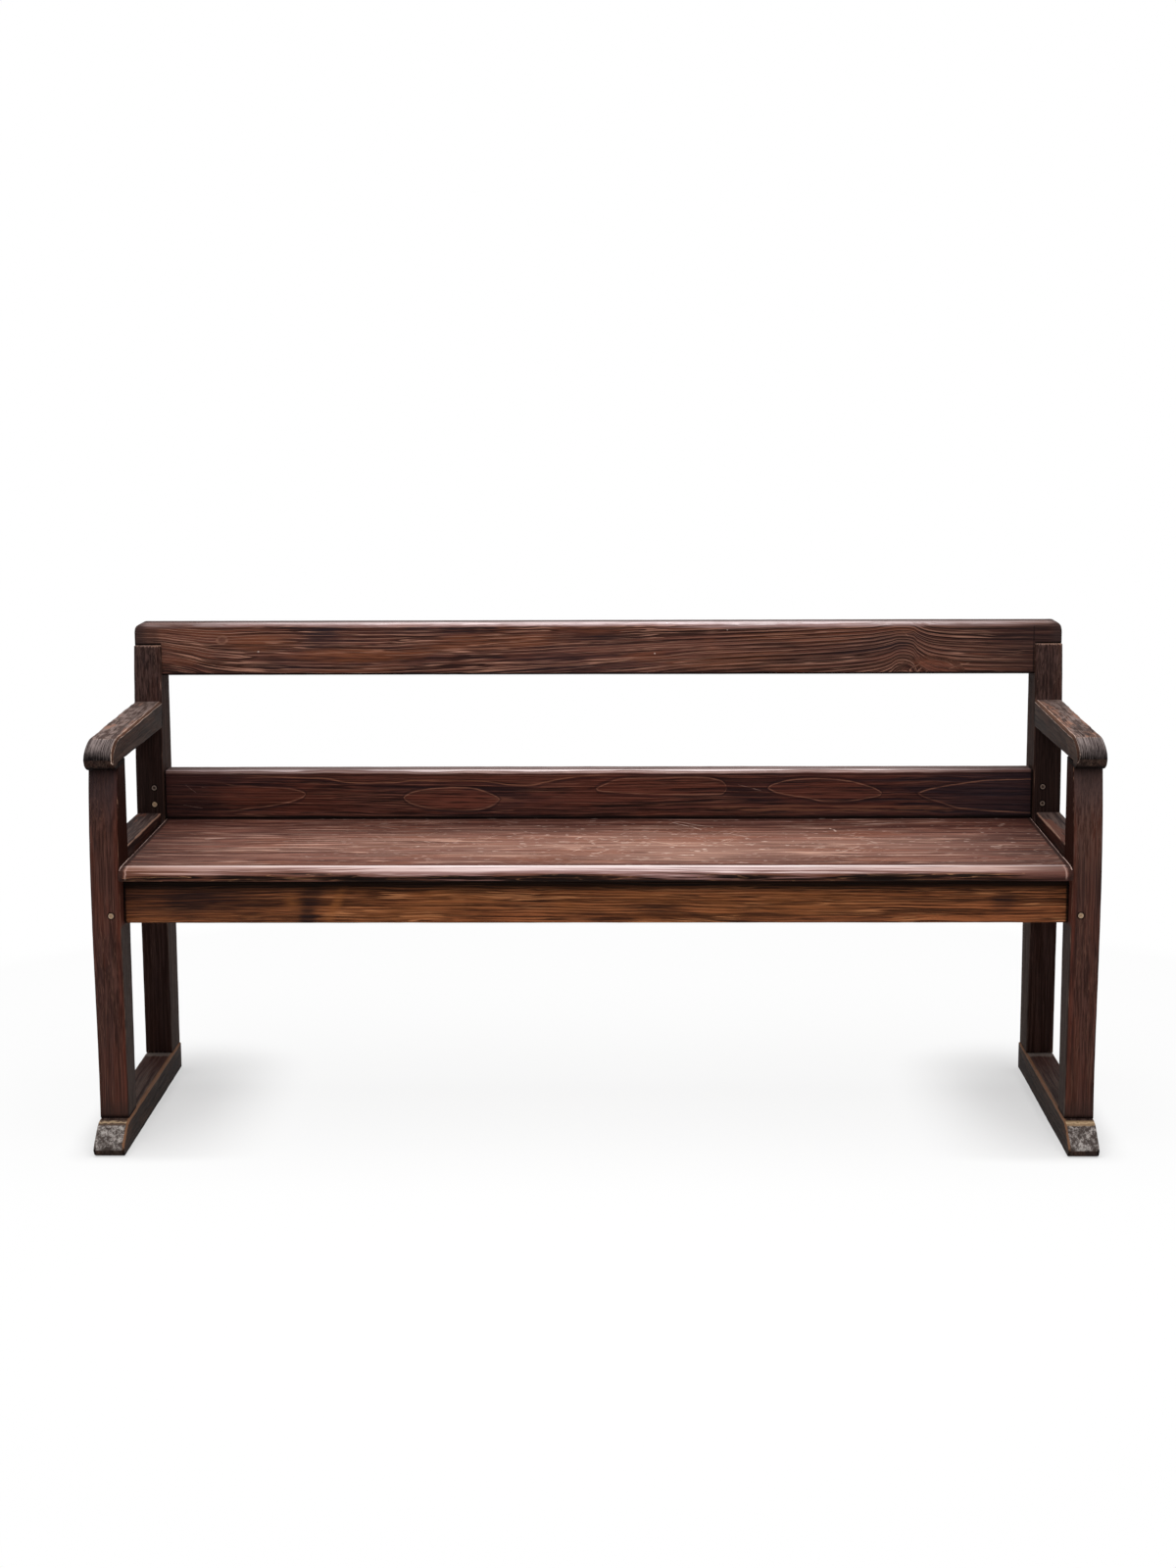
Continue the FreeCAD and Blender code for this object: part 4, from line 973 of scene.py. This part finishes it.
rearPost = {
    "arris": (0.0026, 0.0026, 0.0024, 0.0024), "wear": (0.3, 0.3, 0.2, 0.2), "wearReach": (0.003,) * 4,
    "endRound": (0.0012, 0.0018), "endDirtAndShade": (0.75, 0.0), "endDirtAndShadeReach": 0.0028, "endWear": 0.6,
    "step": 0.005, "seed": 23, "depth": 0.080, "datum": 0.1805,
    "bow": ((0.045, 0.004), (0.255, -0.001), (0.465, -0.006), (0.739, 0.012)),
    "look": {
        **postLook, "dark": (42, 30, 28), "mid": (77, 57, 53), "line": (104, 79, 69),
        "shade": (50, 40, 41), "warm": (74, 44, 36), "worn": (128, 104, 96), "pith": (0.40, 0.1805),
        "hairShare": 0.35, "warmShare": 0.3, "seed": 5.2,
    },
}


def pegRing(made, spot, centre):
    # Dark gap round a peg in either post of a pair
    return made.patch((spot[0], abs(spot[1])), centre, (0.0060, 0.0060), soft=0.16)


def frontPostMarks(made, part, colour, height):
    along, across = part["spot"]
    streak, fibre = part["streak"], part["fibre"]
    inner = abs(across).between(innerX + 0.0004, innerX + 0.0022, 1.0, 0.0)
    beside = abs(across).between(innerX + 0.003, innerX + 0.012, 1.0, 0.0)
    colour = made.over(colour, (96, 44, 30),
                       beside * along.between(0.03, 0.10) * 0.4 * streak.between(0.40, 0.56, 0.3, 1.0))
    colour = made.over(colour, (92, 68, 60),
                       across.between(-0.1, 0.1) * along.between(0.40,
                                                                 0.47) * fibre.between(0.42, 0.58) * 0.6)
    # Greyer under the arm and at the foot, with painted shadow just under the arm; the inner side is dark
    # above the seat as painted shade, and grey below it
    front = part["through"].between(-0.194, -0.186, 1.0, 0.0)
    grey = (along + (streak - 0.5) * 0.05).between(0.50, 0.575)
    colour = made.layers(colour, [
        (made.over((64, 52, 53), (82, 66, 64), across.between(-0.1, 0.1)), grey * 0.6),
        # Painted shadow just under the arm
        ((18, 12, 12), (along + (fibre - 0.5) * 0.02).between(0.576, 0.598) * front * 0.9),
        ((62, 46, 42), (along + (streak - 0.5) * 0.03).between(0.055, 0.080, 0.6, 0.0)),
    ])
    # Painted shade on the inner side above the seat
    high = inner * along.between(0.432, 0.444)
    colour = made.over(colour, (34, 15, 10), high * 0.92)
    low = inner * along.between(0.345, 0.355, 1.0, 0.0)
    grain = made.over((50, 41, 38), (78, 67, 62), fibre.between(0.42, 0.58))
    colour = made.over(colour, grain, low * 0.95)
    colour = made.over(colour, (14, 9, 8), pegRing(made, (along, across), (0.368, 0.7385)) * 0.9)
    return colour, height


def rearPostMarks(made, part, colour, height):
    along, across = part["spot"]
    streak, fibre = part["streak"], part["fibre"]
    inner = abs(across).between(innerX + 0.0004, innerX + 0.0022, 1.0, 0.0)
    face = (1 - inner) * part["through"].between(0.196, 0.206, 1.0, 0.0)
    # Painted shade on the front face between the arm and the side rail, and below the seat
    between = along.between(0.448, 0.462) * along.between(0.600, 0.612, 1.0, 0.0)
    colour = made.over(colour, (26, 17, 15), between * face * 0.72)
    colour = made.over(colour, (32, 18, 14),
                       along.between(0.36, 0.38, 1.0, 0.0) * face * 0.75 * streak.between(0.40,
                                                                                          0.56, 1.0, 0.75))
    # Inner side: darker above the seat as painted shade, grey below it
    high = made.over((38, 24, 20), (68, 49, 42), (streak * 0.5 + fibre * 0.5).between(0.44, 0.56))
    low = made.over((50, 39, 35), (80, 66, 60), (streak * 0.5 + fibre * 0.5).between(0.44, 0.56))
    colour = made.over(colour, made.over(low, high, along.between(0.40, 0.45)), inner * 0.92)
    for centre in backPegPlaces:
        colour = made.over(colour, (14, 9, 8), pegRing(made, (along, across), centre) * 0.9)
    return colour, height


def bowedFace(piece, datum):
    # Cubic through the four measured places gives the face's depth at each height
    heights, setbacks = np.array(piece["bow"]).T
    z = np.linspace(heights[0], heights[-1], 80)
    y = datum + np.polyval(np.polyfit(heights, setbacks, 3), z)
    return np.stack([z, y], -1)


def makePost(piece, label, side, index, material):
    datum = piece["datum"]
    face = bowedFace(piece, datum)
    back = np.stack([face[:, 0], np.full(len(face), datum + piece["depth"])], -1)
    end, here = forSide(piece, side, index)
    member(end + label.capitalize() + "Post", [end + "_" + label + "_post"], "Z", face, back,
           sorted((side * innerX, side * outerX)), here, material)


# The two pegs through each rear post into the lower back rail, as (height, distance from the middle)
backPegPlaces = ((0.47475, 0.7385), (0.50275, 0.7385))

frontPostWood = wood("frontPostWood", "Z", frontPost["look"], None, frontPostMarks)
rearPostWood = wood("rearPostWood", "Z", rearPost["look"], None, rearPostMarks)
for index, side in enumerate((-1, 1)):
    makePost(frontPost, "front", side, index, frontPostWood)
    makePost(rearPost, "rear", side, index, rearPostWood)
print("posts made")

# Armrests, as inner bottom, outer bottom, outer top, inner top
armrest = {
    "arris": (0.003, 0.003, 0.004, 0.004), "wear": (0.1, 0.1, 0.1, 0.95),
    "wearReach": (0.003, 0.003, 0.003, 0.0030),
    "endRound": (0.0001, 0.0005), "endDirtAndShade": (0.0, 0.8), "endDirtAndShadeReach": 0.004, "step": 0.004, "seed": 31,
    "reach": -0.1990, "rear": 0.187, "under": 0.602,
    "top": ((-0.2355, 0.6112), (-0.2335, 0.6195), (-0.2245, 0.6271), (-0.2080, 0.6338), (-0.1895, 0.6385),
            (-0.1500, 0.6395), (0.1870, 0.6470)),
    "bottom": ((-0.2355, 0.6112), (-0.2328, 0.6033), (-0.2263, 0.5976), (-0.2175, 0.5941), (-0.2079, 0.5930),
               (-0.1992, 0.5930)),
    "look": {
        "dark": (32, 23, 20), "mid": (70, 55, 48), "line": (90, 72, 62), "shade": (44, 35, 33),
        "gloss": 0.01, "warm": (66, 42, 34), "worn": (46, 31, 27), "wornWarm": (100, 68, 52),
        "ringSpacing": 0.006, "wornAlong": ((-0.24, 0.2), (0.0, 0.5), (0.19, 0.3)), "pith": (0.40, 0.62),
        "ringTaper": 0.004, "seed": 2.2, "lineShare": 0.35, "darkLineShare": 0.4, "hairShare": 0.35,
        "edgeLine": 0.95, "edgeColour": (226, 196, 178), "streakScale": (3.0, 150.0),
        "fibreScale": (16.0, 480.0), "roughness": 0.56,
    },
}


def armMarks(made, part, colour, height):
    along, across = part["spot"]
    level, streak, fibre = part["through"], part["streak"], part["fibre"]
    rise = made.attribute("rise")
    top = rise.between(0.955, 0.99)
    flat = along.between(-0.1935, -0.1885)
    # Flat top: grey-brown, mottled, with orange worn through in places, and lighter than the sides as
    # painted light
    mottle = made.noise(part["grain"], (26.0, 90.0), 51.0, 4.0, 0.65)
    topTone = made.over((70, 54, 49), (130, 112, 106), (mottle * 0.6 + fibre * 0.4).between(0.43, 0.57))
    topTone = made.layers(topTone, [
        ((158, 100, 68), part["smudge"].between(0.50, 0.60) * 0.45 * mottle.between(0.42, 0.55)),
        ((44, 34, 32), streak.between(0.53, 0.60) * 0.6),
        ((78, 66, 62), along.between(0.02, 0.17) * 0.5),
    ])
    colour = made.over(colour, topTone, top * flat)
    # Nose: pale upright fibres at the top with a painted highlight along its top edge, darkening to almost
    # black at the lip as painted shade
    upright = made.join(level, across, 0.0)
    hairs = made.noise(upright, (34.0, 720.0), 3.0, 3.0, 0.65)
    pale = made.over((60, 50, 49), (136, 123, 120), hairs.between(0.38, 0.62))
    deep = made.over((8, 6, 6), (42, 34, 32), hairs.between(0.48, 0.64))
    nose = made.over(deep, pale, (level + (mottle - 0.5) * 0.024).between(0.607, 0.640))
    nose = made.over(nose, (186, 158, 142), along.near(-0.1925, 0.0022) * hairs.between(0.46, 0.54) * 0.5)
    front = (1 - flat) * rise.between(0.02, 0.10) * part["wear"].between(0.25, 0.6, 1.0, 0.35)
    inner = abs(across).between(innerX + 0.0005, innerX + 0.0030, 0.0, 1.0)
    colour = made.over(colour, nose, front * inner)
    # Painted shade on the underside of the arm
    colour = made.over(colour, (14, 10, 10), level.between(0.597, 0.603, 1.0, 0.0) * (1 - flat) * 0.9)
    return colour, height


def makeArmrest(piece, side, index, material):
    upper = smoothCurve(piece["top"], 120)
    lower = smoothCurve(piece["bottom"], 60)
    reach, rear = piece["reach"], piece["rear"]
    lower = np.concatenate([lower, [(reach, piece["under"]), (rear, piece["under"])]])
    lowRun = runAlong(lower)
    spread = np.unique(np.r_[np.linspace(0, lowRun[59], 30), lowRun[60],
                             np.linspace(lowRun[60], lowRun[-1], 90)])
    lower = pointsAt(spread, lowRun, lower)
    # Each place on the lower edge has its pair on the upper edge: by distance round the nose, then by depth
    pair = runAlong(upper)
    order = np.arange(len(pair))
    nose = np.linspace(0, 1, 30) * np.interp(reach, upper[:, 0], pair)
    behind = np.interp(lower[30:, 0].clip(reach, rear), upper[:, 0], pair)
    topIndex = np.interp(np.r_[nose, behind], pair, order)
    upper = pointsAt(topIndex, order, upper)
    end, here = forSide(piece, side, index)
    member(end + "Armrest", [end + "_armrest"], "Y", lower, upper, sorted((side * innerX, side * outerX)),
           here, material)


armrestWood = wood("armrestWood", "Y", armrest["look"], None, armMarks)
for index, side in enumerate((-1, 1)):
    makeArmrest(armrest, side, index, armrestWood)
print("armrests made")

# Feet and side rails, as inner bottom, outer bottom, outer top, inner top
foot = {
    "arris": (0.002, 0.002, 0.003, 0.003), "wear": (0.1, 0.1, 0.3, 0.85),
    "wearReach": (0.003, 0.003, 0.003, 0.0032),
    "grime": (0.9, 0.9, 0.0, 0.0), "dirtAndShadeReach": (0.004, 0.004, 0.003, 0.003),
    "endRound": (0.0001, 0.003), "step": 0.004, "seed": 41, "wider": 0.0022,
    "toe": ((-0.2605, 0.0110), (-0.2591, 0.0164), (-0.2558, 0.0200), (-0.2440, 0.0283), (-0.2300, 0.0381),
            (-0.2200, 0.0429), (-0.2080, 0.0450), (-0.1900, 0.0450)),
    "look": {
        "dark": (36, 28, 25), "mid": (66, 53, 47), "line": (88, 72, 64), "shade": (46, 38, 37),
        "seed": 1.4, "gloss": 0.02, "warm": (76, 54, 44), "worn": (124, 92, 72),
        "wornWarm": (140, 98, 70), "ringSpacing": 0.007, "wornAlong": ((-0.26, 0.3), (0.26, 0.6)),
        "pith": (0.40, 0.02), "ringTaper": 0.004, "lineShare": 0.35, "darkLineShare": 0.4,
        "hairShare": 0.3, "streakScale": (3.0, 130.0), "fibreScale": (16.0, 460.0),
    },
}
sideRail = {
    "arris": (0.002, 0.002, 0.002, 0.0025), "wear": (0.1, 0.1, 0.3, 0.7), "wearReach": (0.0024,) * 4,
    "endRound": (0.0008, 0.0005), "endDirtAndShade": (0.8, 0.8), "step": 0.005, "seed": 51, "rear": 0.1757,
    "look": {
        "dark": (30, 17, 15), "mid": (54, 33, 28), "line": (84, 60, 50), "shade": (48, 36, 35),
        "gloss": 0.02, "warm": (66, 34, 26), "worn": (124, 92, 76), "wornWarm": (150, 118, 102),
        "ringSpacing": 0.0055, "wornAlong": ((-0.2, 0.8), (0.2, 0.3)), "pith": (0.36, 0.42),
        "ringTaper": 0.004, "lineShare": 0.35, "darkLineShare": 0.4, "hairShare": 0.35,
        "streakScale": (3.0, 140.0), "fibreScale": (16.0, 460.0), "seed": 6.4,
    },
}


def footMarks(made, part, colour, height):
    along, across = part["spot"]
    level, streak, fibre = part["through"], part["streak"], part["fibre"]
    rise = made.attribute("rise")
    top = rise.between(0.94, 0.985)
    # Top of the foot: redder towards the back, with a scuffed grey band before the rear post
    topTone = made.over((46, 32, 29), (84, 68, 62), (streak * 0.5 + fibre * 0.5).between(0.43, 0.57))
    topTone = made.over(topTone, (62, 36, 32), along.between(-0.02, 0.12) * 0.55)
    topTone = made.over(topTone, (116, 106, 100),
                        (along + (streak - 0.5) * 0.02).between(0.158, 0.170) * 0.8)
    colour = made.over(colour, topTone, top * along.between(-0.22, -0.20))
    # Toe: pale grey from scuffing and painted sheen, mottled and specked, tan along its top edge and darker
    # towards the floor as painted shade
    cloud = made.noise(part["grain"], (95.0, 95.0), 23.0, 4.0, 0.7)
    speck = made.noise(part["grain"], (300.0, 420.0), 27.0, 2.0, 0.6)
    toe = made.over((82, 73, 69), (170, 161, 156), (cloud * 0.65 + speck * 0.35).between(0.45, 0.55))
    toe = made.layers(toe, [
        ((48, 40, 37), speck.between(0.54, 0.60) * 0.9),
        ((186, 180, 174), cloud.between(0.56, 0.61) * 0.7),
        ((58, 49, 45), (level + (cloud - 0.5) * 0.010).between(0.008, 0.018, 0.75, 0.0)),
    ])
    edge = (level + (cloud - 0.5) * 0.004)
    tanTone = made.over((98, 80, 68), (168, 140, 108), across.between(-0.1, 0.1) * 0.8)
    toe = made.over(toe, tanTone, edge.between(0.0395, 0.0415))
    toe = made.over(toe, (204, 176, 142), edge.near(0.0432, 0.0009) * 0.7)
    front = along.between(-0.2130, -0.2100, 1.0, 0.0) * rise.between(0.45, 0.70)
    inner = abs(across).between(innerX - foot["wider"] + 0.0006, innerX - foot["wider"] + 0.0024)
    colour = made.over(colour, toe, front * inner)
    seam = along.between(-0.2130, -0.2100) * top * part["wear"].between(0.1, 0.3, 0.0, 1.0)
    colour = made.over(colour, (150, 112, 84), seam * 0.3)
    return colour, height


def sideRailMarks(made, part, colour, height):
    top = made.attribute("rise").between(0.955, 0.99)
    tone = made.over((46, 34, 32), (88, 72, 67),
                     (part["streak"] * 0.5 + part["fibre"] * 0.5).between(0.43, 0.57))
    tone = made.over(tone, (112, 64, 48), part["smudge"].between(0.52, 0.62) * 0.5)
    return made.over(colour, tone, top), height


def makeFoot(piece, side, index, material):
    upper = smoothCurve(piece["toe"], 80)
    turn = np.linspace(np.pi, 1.5 * np.pi, 12)
    base = np.stack([-0.2495 + 0.011 * np.cos(turn), 0.011 + 0.011 * np.sin(turn)], -1)
    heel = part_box("right_foot")[1].y
    upper = np.concatenate([upper, [(heel, footTop)]])
    lowShare = np.linspace(0, 1, 81) ** 0.8
    lower = np.concatenate([base, [(-0.1900, 0.0)]])
    run = runAlong(lower)
    lower = pointsAt(lowShare[:80] * run[-1], run, lower)
    lower = np.concatenate([lower, [(heel, 0.0)]])
    end, here = forSide(piece, side, index)
    member(end + "Foot", [end + "_foot"], "Y", lower, upper,
           sorted((side * (innerX - piece["wider"]), side * outerX)), here, material)


def makeSideRail(piece, side, index, material):
    low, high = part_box("right_side_rail")
    lower, upper = straight(-0.1415, piece["rear"], low.z, high.z)
    end, here = forSide(piece, side, index)
    member(end + "SideRail", [end + "_side_rail"], "Y", lower, upper,
           sorted((side * low.x, side * high.x)), here, material)


footWood = wood("footWood", "Y", foot["look"], None, footMarks)
sideRailWood = wood("sideRailWood", "Y", sideRail["look"], None, sideRailMarks)
for index, side in enumerate((-1, 1)):
    makeFoot(foot, side, index, footWood)
    makeSideRail(sideRail, side, index, sideRailWood)
print("feet and side rails made")

# Pegs. Each is given by the middle of its mouth on the right-hand side, the way it points out, its length
# and how pale it is at the left and at the right; the left-hand one is its mirror image
pegs = {
    "radius": 0.0045, "proud": 0.0008, "dish": 0.0005, "edge": 0.0007, "around": 28,
    "gap": (14, 9, 8), "dull": (88, 74, 68), "pale": (196, 164, 130), "core": (46, 32, 27),
    "rim": (170, 150, 136),
}
outward, forward, backward = (1, 0, 0), (0, -1, 0), (0, 1, 0)
pegPlaces = {
    "backRailPegs": ("back_rail_pegs", (((0.7385, 0.17451, 0.47475), forward, 0.0670, 0.9, 0.05),
                                        ((0.7385, 0.17456, 0.50275), forward, 0.0669, -0.1, 0.0))),
    "apronPegs": ("apron_pegs", (((0.7385, -0.21483, 0.368), forward, 0.0493, 0.75, 0.8),)),
    "rearSeatRailPegs": ("rear_seat_rail_pegs", (((0.7385, 0.2597, 0.368), backward, 0.0612, 0.4, 0.5),)),
    "crestPegs": ("crest_pegs", (((0.746, 0.2555, 0.751), backward, 0.0520, 0.5, 0.4),)),
    "sideRailPegs": ("side_rail_pegs", (((0.7685, -0.1525, 0.4175), outward, 0.0370, 0.4, 0.5),
                                        ((0.7685, 0.1915, 0.4175), outward, 0.0370, 0.5, 0.3))),
    "armrestPegs": ("armrest_pegs", (((0.7685, -0.169, 0.613), outward, 0.0370, 0.4, 0.5),
                                     ((0.7685, 0.198, 0.6245), outward, 0.0370, 0.6, 0.4))),
    "footPegs": ("foot_pegs", (((0.7685, -0.1715, 0.030), outward, 0.0370, 0.5, 0.4),
                               ((0.7685, 0.2205, 0.030), outward, 0.0370, 0.4, 0.5))),
}


def pegWood(look):
    # End grain: rings by the distance from the peg's own axis, a dark core, a pale rim and a dark gap
    made = Finish(bpy.data.materials.new("pegWood"))
    place = made.put("ShaderNodeTexCoord", None, None, out=3)
    away, pale = made.attribute("away"), made.attribute("pale")
    cloud = made.noise(place, (420.0, 420.0), 0.0, 3.0, 0.6)
    speck = made.noise(place, (1500.0, 1500.0), 3.0, 2.0, 0.6)
    colour = made.over(look["dull"], look["pale"], pale + (cloud - 0.5) * 1.2)
    rings = ((away + (cloud - 0.5) * 0.5) * 4.5).fraction()
    colour = made.layers(colour, [
        (look["core"], rings.near(0.5, 0.35) * 0.35),
        (look["rim"], away.near(0.76, 0.16) * 0.55),
        (look["core"], (away + (cloud - 0.5) * 0.4).between(0.16, 0.46, 0.9, 0.0) * (1.15 - pale)),
        (look["core"], speck.between(0.52, 0.62) * 0.4),
        (look["gap"], away.between(0.90, 0.97) * 0.9),
    ])
    return made.finished(colour, speck * 0.2 + 0.55, cloud - rings.near(0.5, 0.35) * 0.3, 0.0004,
                         {"Specular IOR Level": 0.05})


def makePegs(piece):
    material = pegWood(piece)
    radius, proud, edge, dish = (piece[key] for key in ("radius", "proud", "edge", "dish"))
    turn = np.linspace(0, 2 * np.pi, piece["around"], endpoint=False)
    bend = np.linspace(0, np.pi / 2, 5)
    # Head profile: straight side, a round edge, then a shallow dish down to the middle
    flat = np.linspace(radius - edge, radius * 0.1, 7)
    headRadius = np.r_[radius, radius - edge + edge * np.cos(bend), flat[1:]]
    headOut = np.r_[0.0, proud - edge + edge * np.sin(bend),
                    proud - dish * (1 - (flat[1:] / (radius - edge)) ** 2)]
    for name, (node, places) in pegPlaces.items():
        blocks, pale = [], []
        for (x, y, z), way, length, *shares in places:
            for side, share in zip((-1, 1), shares):
                out = np.array([way[0] * side, way[1], way[2]], float)
                up = np.array([0.0, 0.0, 1.0])
                level = np.cross(up, out)
                ring = np.cos(turn)[:, None] * level + np.sin(turn)[:, None] * up
                across = np.r_[radius * 0.85, radius, headRadius]
                reach = np.r_[-length, -length + 0.0007, headOut]
                blocks.append(np.array([x * side, y, z]) + reach[:, None, None] * out
                              + across[:, None, None] * ring[None])
                pale.append(np.full(blocks[-1].shape[:2], share))
        away = np.broadcast_to((across / radius)[None, :, None], np.array(pale).shape)
        made = meshFrom(name, np.array(blocks), {"away": away, "pale": np.array(pale)}, material)
        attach(made, "root")
        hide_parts(node)


makePegs(pegs)
print("pegs made")

# Bearers and screws stay as the solids have them
bearerLook = {"seed": 12.0, "dark": (60, 42, 34), "mid": (98, 70, 56), "pith": (0.5, 0.30)}
screwSteel = {"colour": (120, 118, 114), "roughness": 0.42}


def dressNodes():
    bearerWood = wood("bearerWood", "Y", bearerLook)
    steel = Finish(bpy.data.materials.new("screwSteel"))
    place = steel.put("ShaderNodeTexCoord", None, None, out=3)
    dust = steel.noise(place, (300.0, 300.0))
    colour = steel.over(screwSteel["colour"], (70, 58, 50), dust.between(0.45, 0.7) * 0.6)
    steelFinish = steel.finished(colour, dust * 0.3 + screwSteel["roughness"] - 0.1, dust, 0.0002,
                                 {"Metallic": 0.9})
    for name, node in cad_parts.items():
        finish = bearerWood if "bearer" in name else steelFinish if "screw" in name else None
        if finish:
            node.data.materials.clear()
            node.data.materials.append(finish)


dressNodes()

# Room
room = {
    "floorSize": 16.0, "diffuseLevel": 0.42,
    "floorGlow": 0.90, "footGlow": 0.50, "footReach": 0.24,   # how much of the floor's own shade is lifted
    # How much quicker it lifts outside and in front
    "outside": 4.0, "ahead": 4.0,
    "fadeStart": 0.95, "fadeEnd": 1.7,
}
lamps = [
    {"name": "ceilingLight", "place": (0.0, -0.6, 2.9), "aim": (0.0, 0.0, 0.3), "size": 3.4, "power": 88.0},
]


def shownDirectly(made):
    # 1 for what the camera, a reflection or a clear piece shows, and 0 for light on a surface
    camera, glossy, passed = made.outputs("ShaderNodeLightPath", ("Is Camera Ray", "Is Glossy Ray",
                                                                  "Is Transmission Ray"))
    return camera.most(glossy).most(passed)


def makeRoom(room):
    reach = room["floorSize"] / 2
    mesh = bpy.data.meshes.new("floor")
    mesh.from_pydata([(-reach, -reach, -0.0004), (reach, -reach, -0.0004), (reach, reach, -0.0004),
                      (-reach, reach, -0.0004)], [], [(0, 1, 2, 3)])
    made = Finish(bpy.data.materials.new("floorPaper"))
    place = made.put("ShaderNodeTexCoord", None, None, out=3)
    away = made.put("ShaderNodeVectorMath", {"operation": "LENGTH"}, {0: place}, out=1)
    x, y = made.outputs("ShaderNodeSeparateXYZ", "XY", {0: place})
    # Close to a foot the shade is kept: distance to the foot's line, from the offset across and past
    # its ends, with the offset outside the foot and in front of it stretched
    across = (abs(x) - outerX).most(0.0) * room["outside"] + (innerX - abs(x)).most(0.0)
    past = (y - 0.24).most(0.0) + (-0.24 - y).most(0.0) * room["ahead"]
    near = (across * across + past * past).root().between(0.02, room["footReach"], room["footGlow"],
                                                          room["floorGlow"])
    fade = near.most(away.between(room["fadeStart"], room["fadeEnd"]))
    glow = made.put("ShaderNodeEmission", None, {"Color": (1, 1, 1, 1), "Strength": 1.0})
    paper = made.put("ShaderNodeBsdfDiffuse", None, {"Color": (0.94, 0.94, 0.94, 1)})
    surface = made.put("ShaderNodeMixShader", None, {0: shownDirectly(made) * fade, 1: paper, 2: glow})
    made.put("ShaderNodeOutputMaterial", None, {"Surface": surface})
    mesh.materials.append(made.owner)
    floor = bpy.data.objects.new("floor", mesh)
    bpy.context.scene.collection.objects.link(floor)

    sky = Finish(bpy.data.worlds.new("studio"))
    strength = shownDirectly(sky) * (1 - room["diffuseLevel"]) + room["diffuseLevel"]
    back = sky.put("ShaderNodeBackground", None, {"Color": (1, 1, 1, 1), "Strength": strength})
    sky.put("ShaderNodeOutputWorld", None, {"Surface": back})
    bpy.context.scene.world = sky.owner


def makeLamp(lamp):
    data = bpy.data.lights.new(lamp["name"], "AREA")
    data.shape, data.size, data.energy = "SQUARE", lamp["size"], lamp["power"]
    made = bpy.data.objects.new(lamp["name"], data)
    place, aim = np.array(lamp["place"]), np.array(lamp["aim"])
    back = (place - aim) / np.linalg.norm(place - aim)
    side = np.cross((0, 1, 0), back)
    side /= np.linalg.norm(side)
    turn = np.eye(4)
    turn[:3, 0], turn[:3, 1], turn[:3, 2], turn[:3, 3] = side, np.cross(back, side), back, place
    made.matrix_world = Matrix(turn.tolist())
    bpy.context.scene.collection.objects.link(made)


makeRoom(room)
for lamp in lamps:
    makeLamp(lamp)
print("room and lamps made")
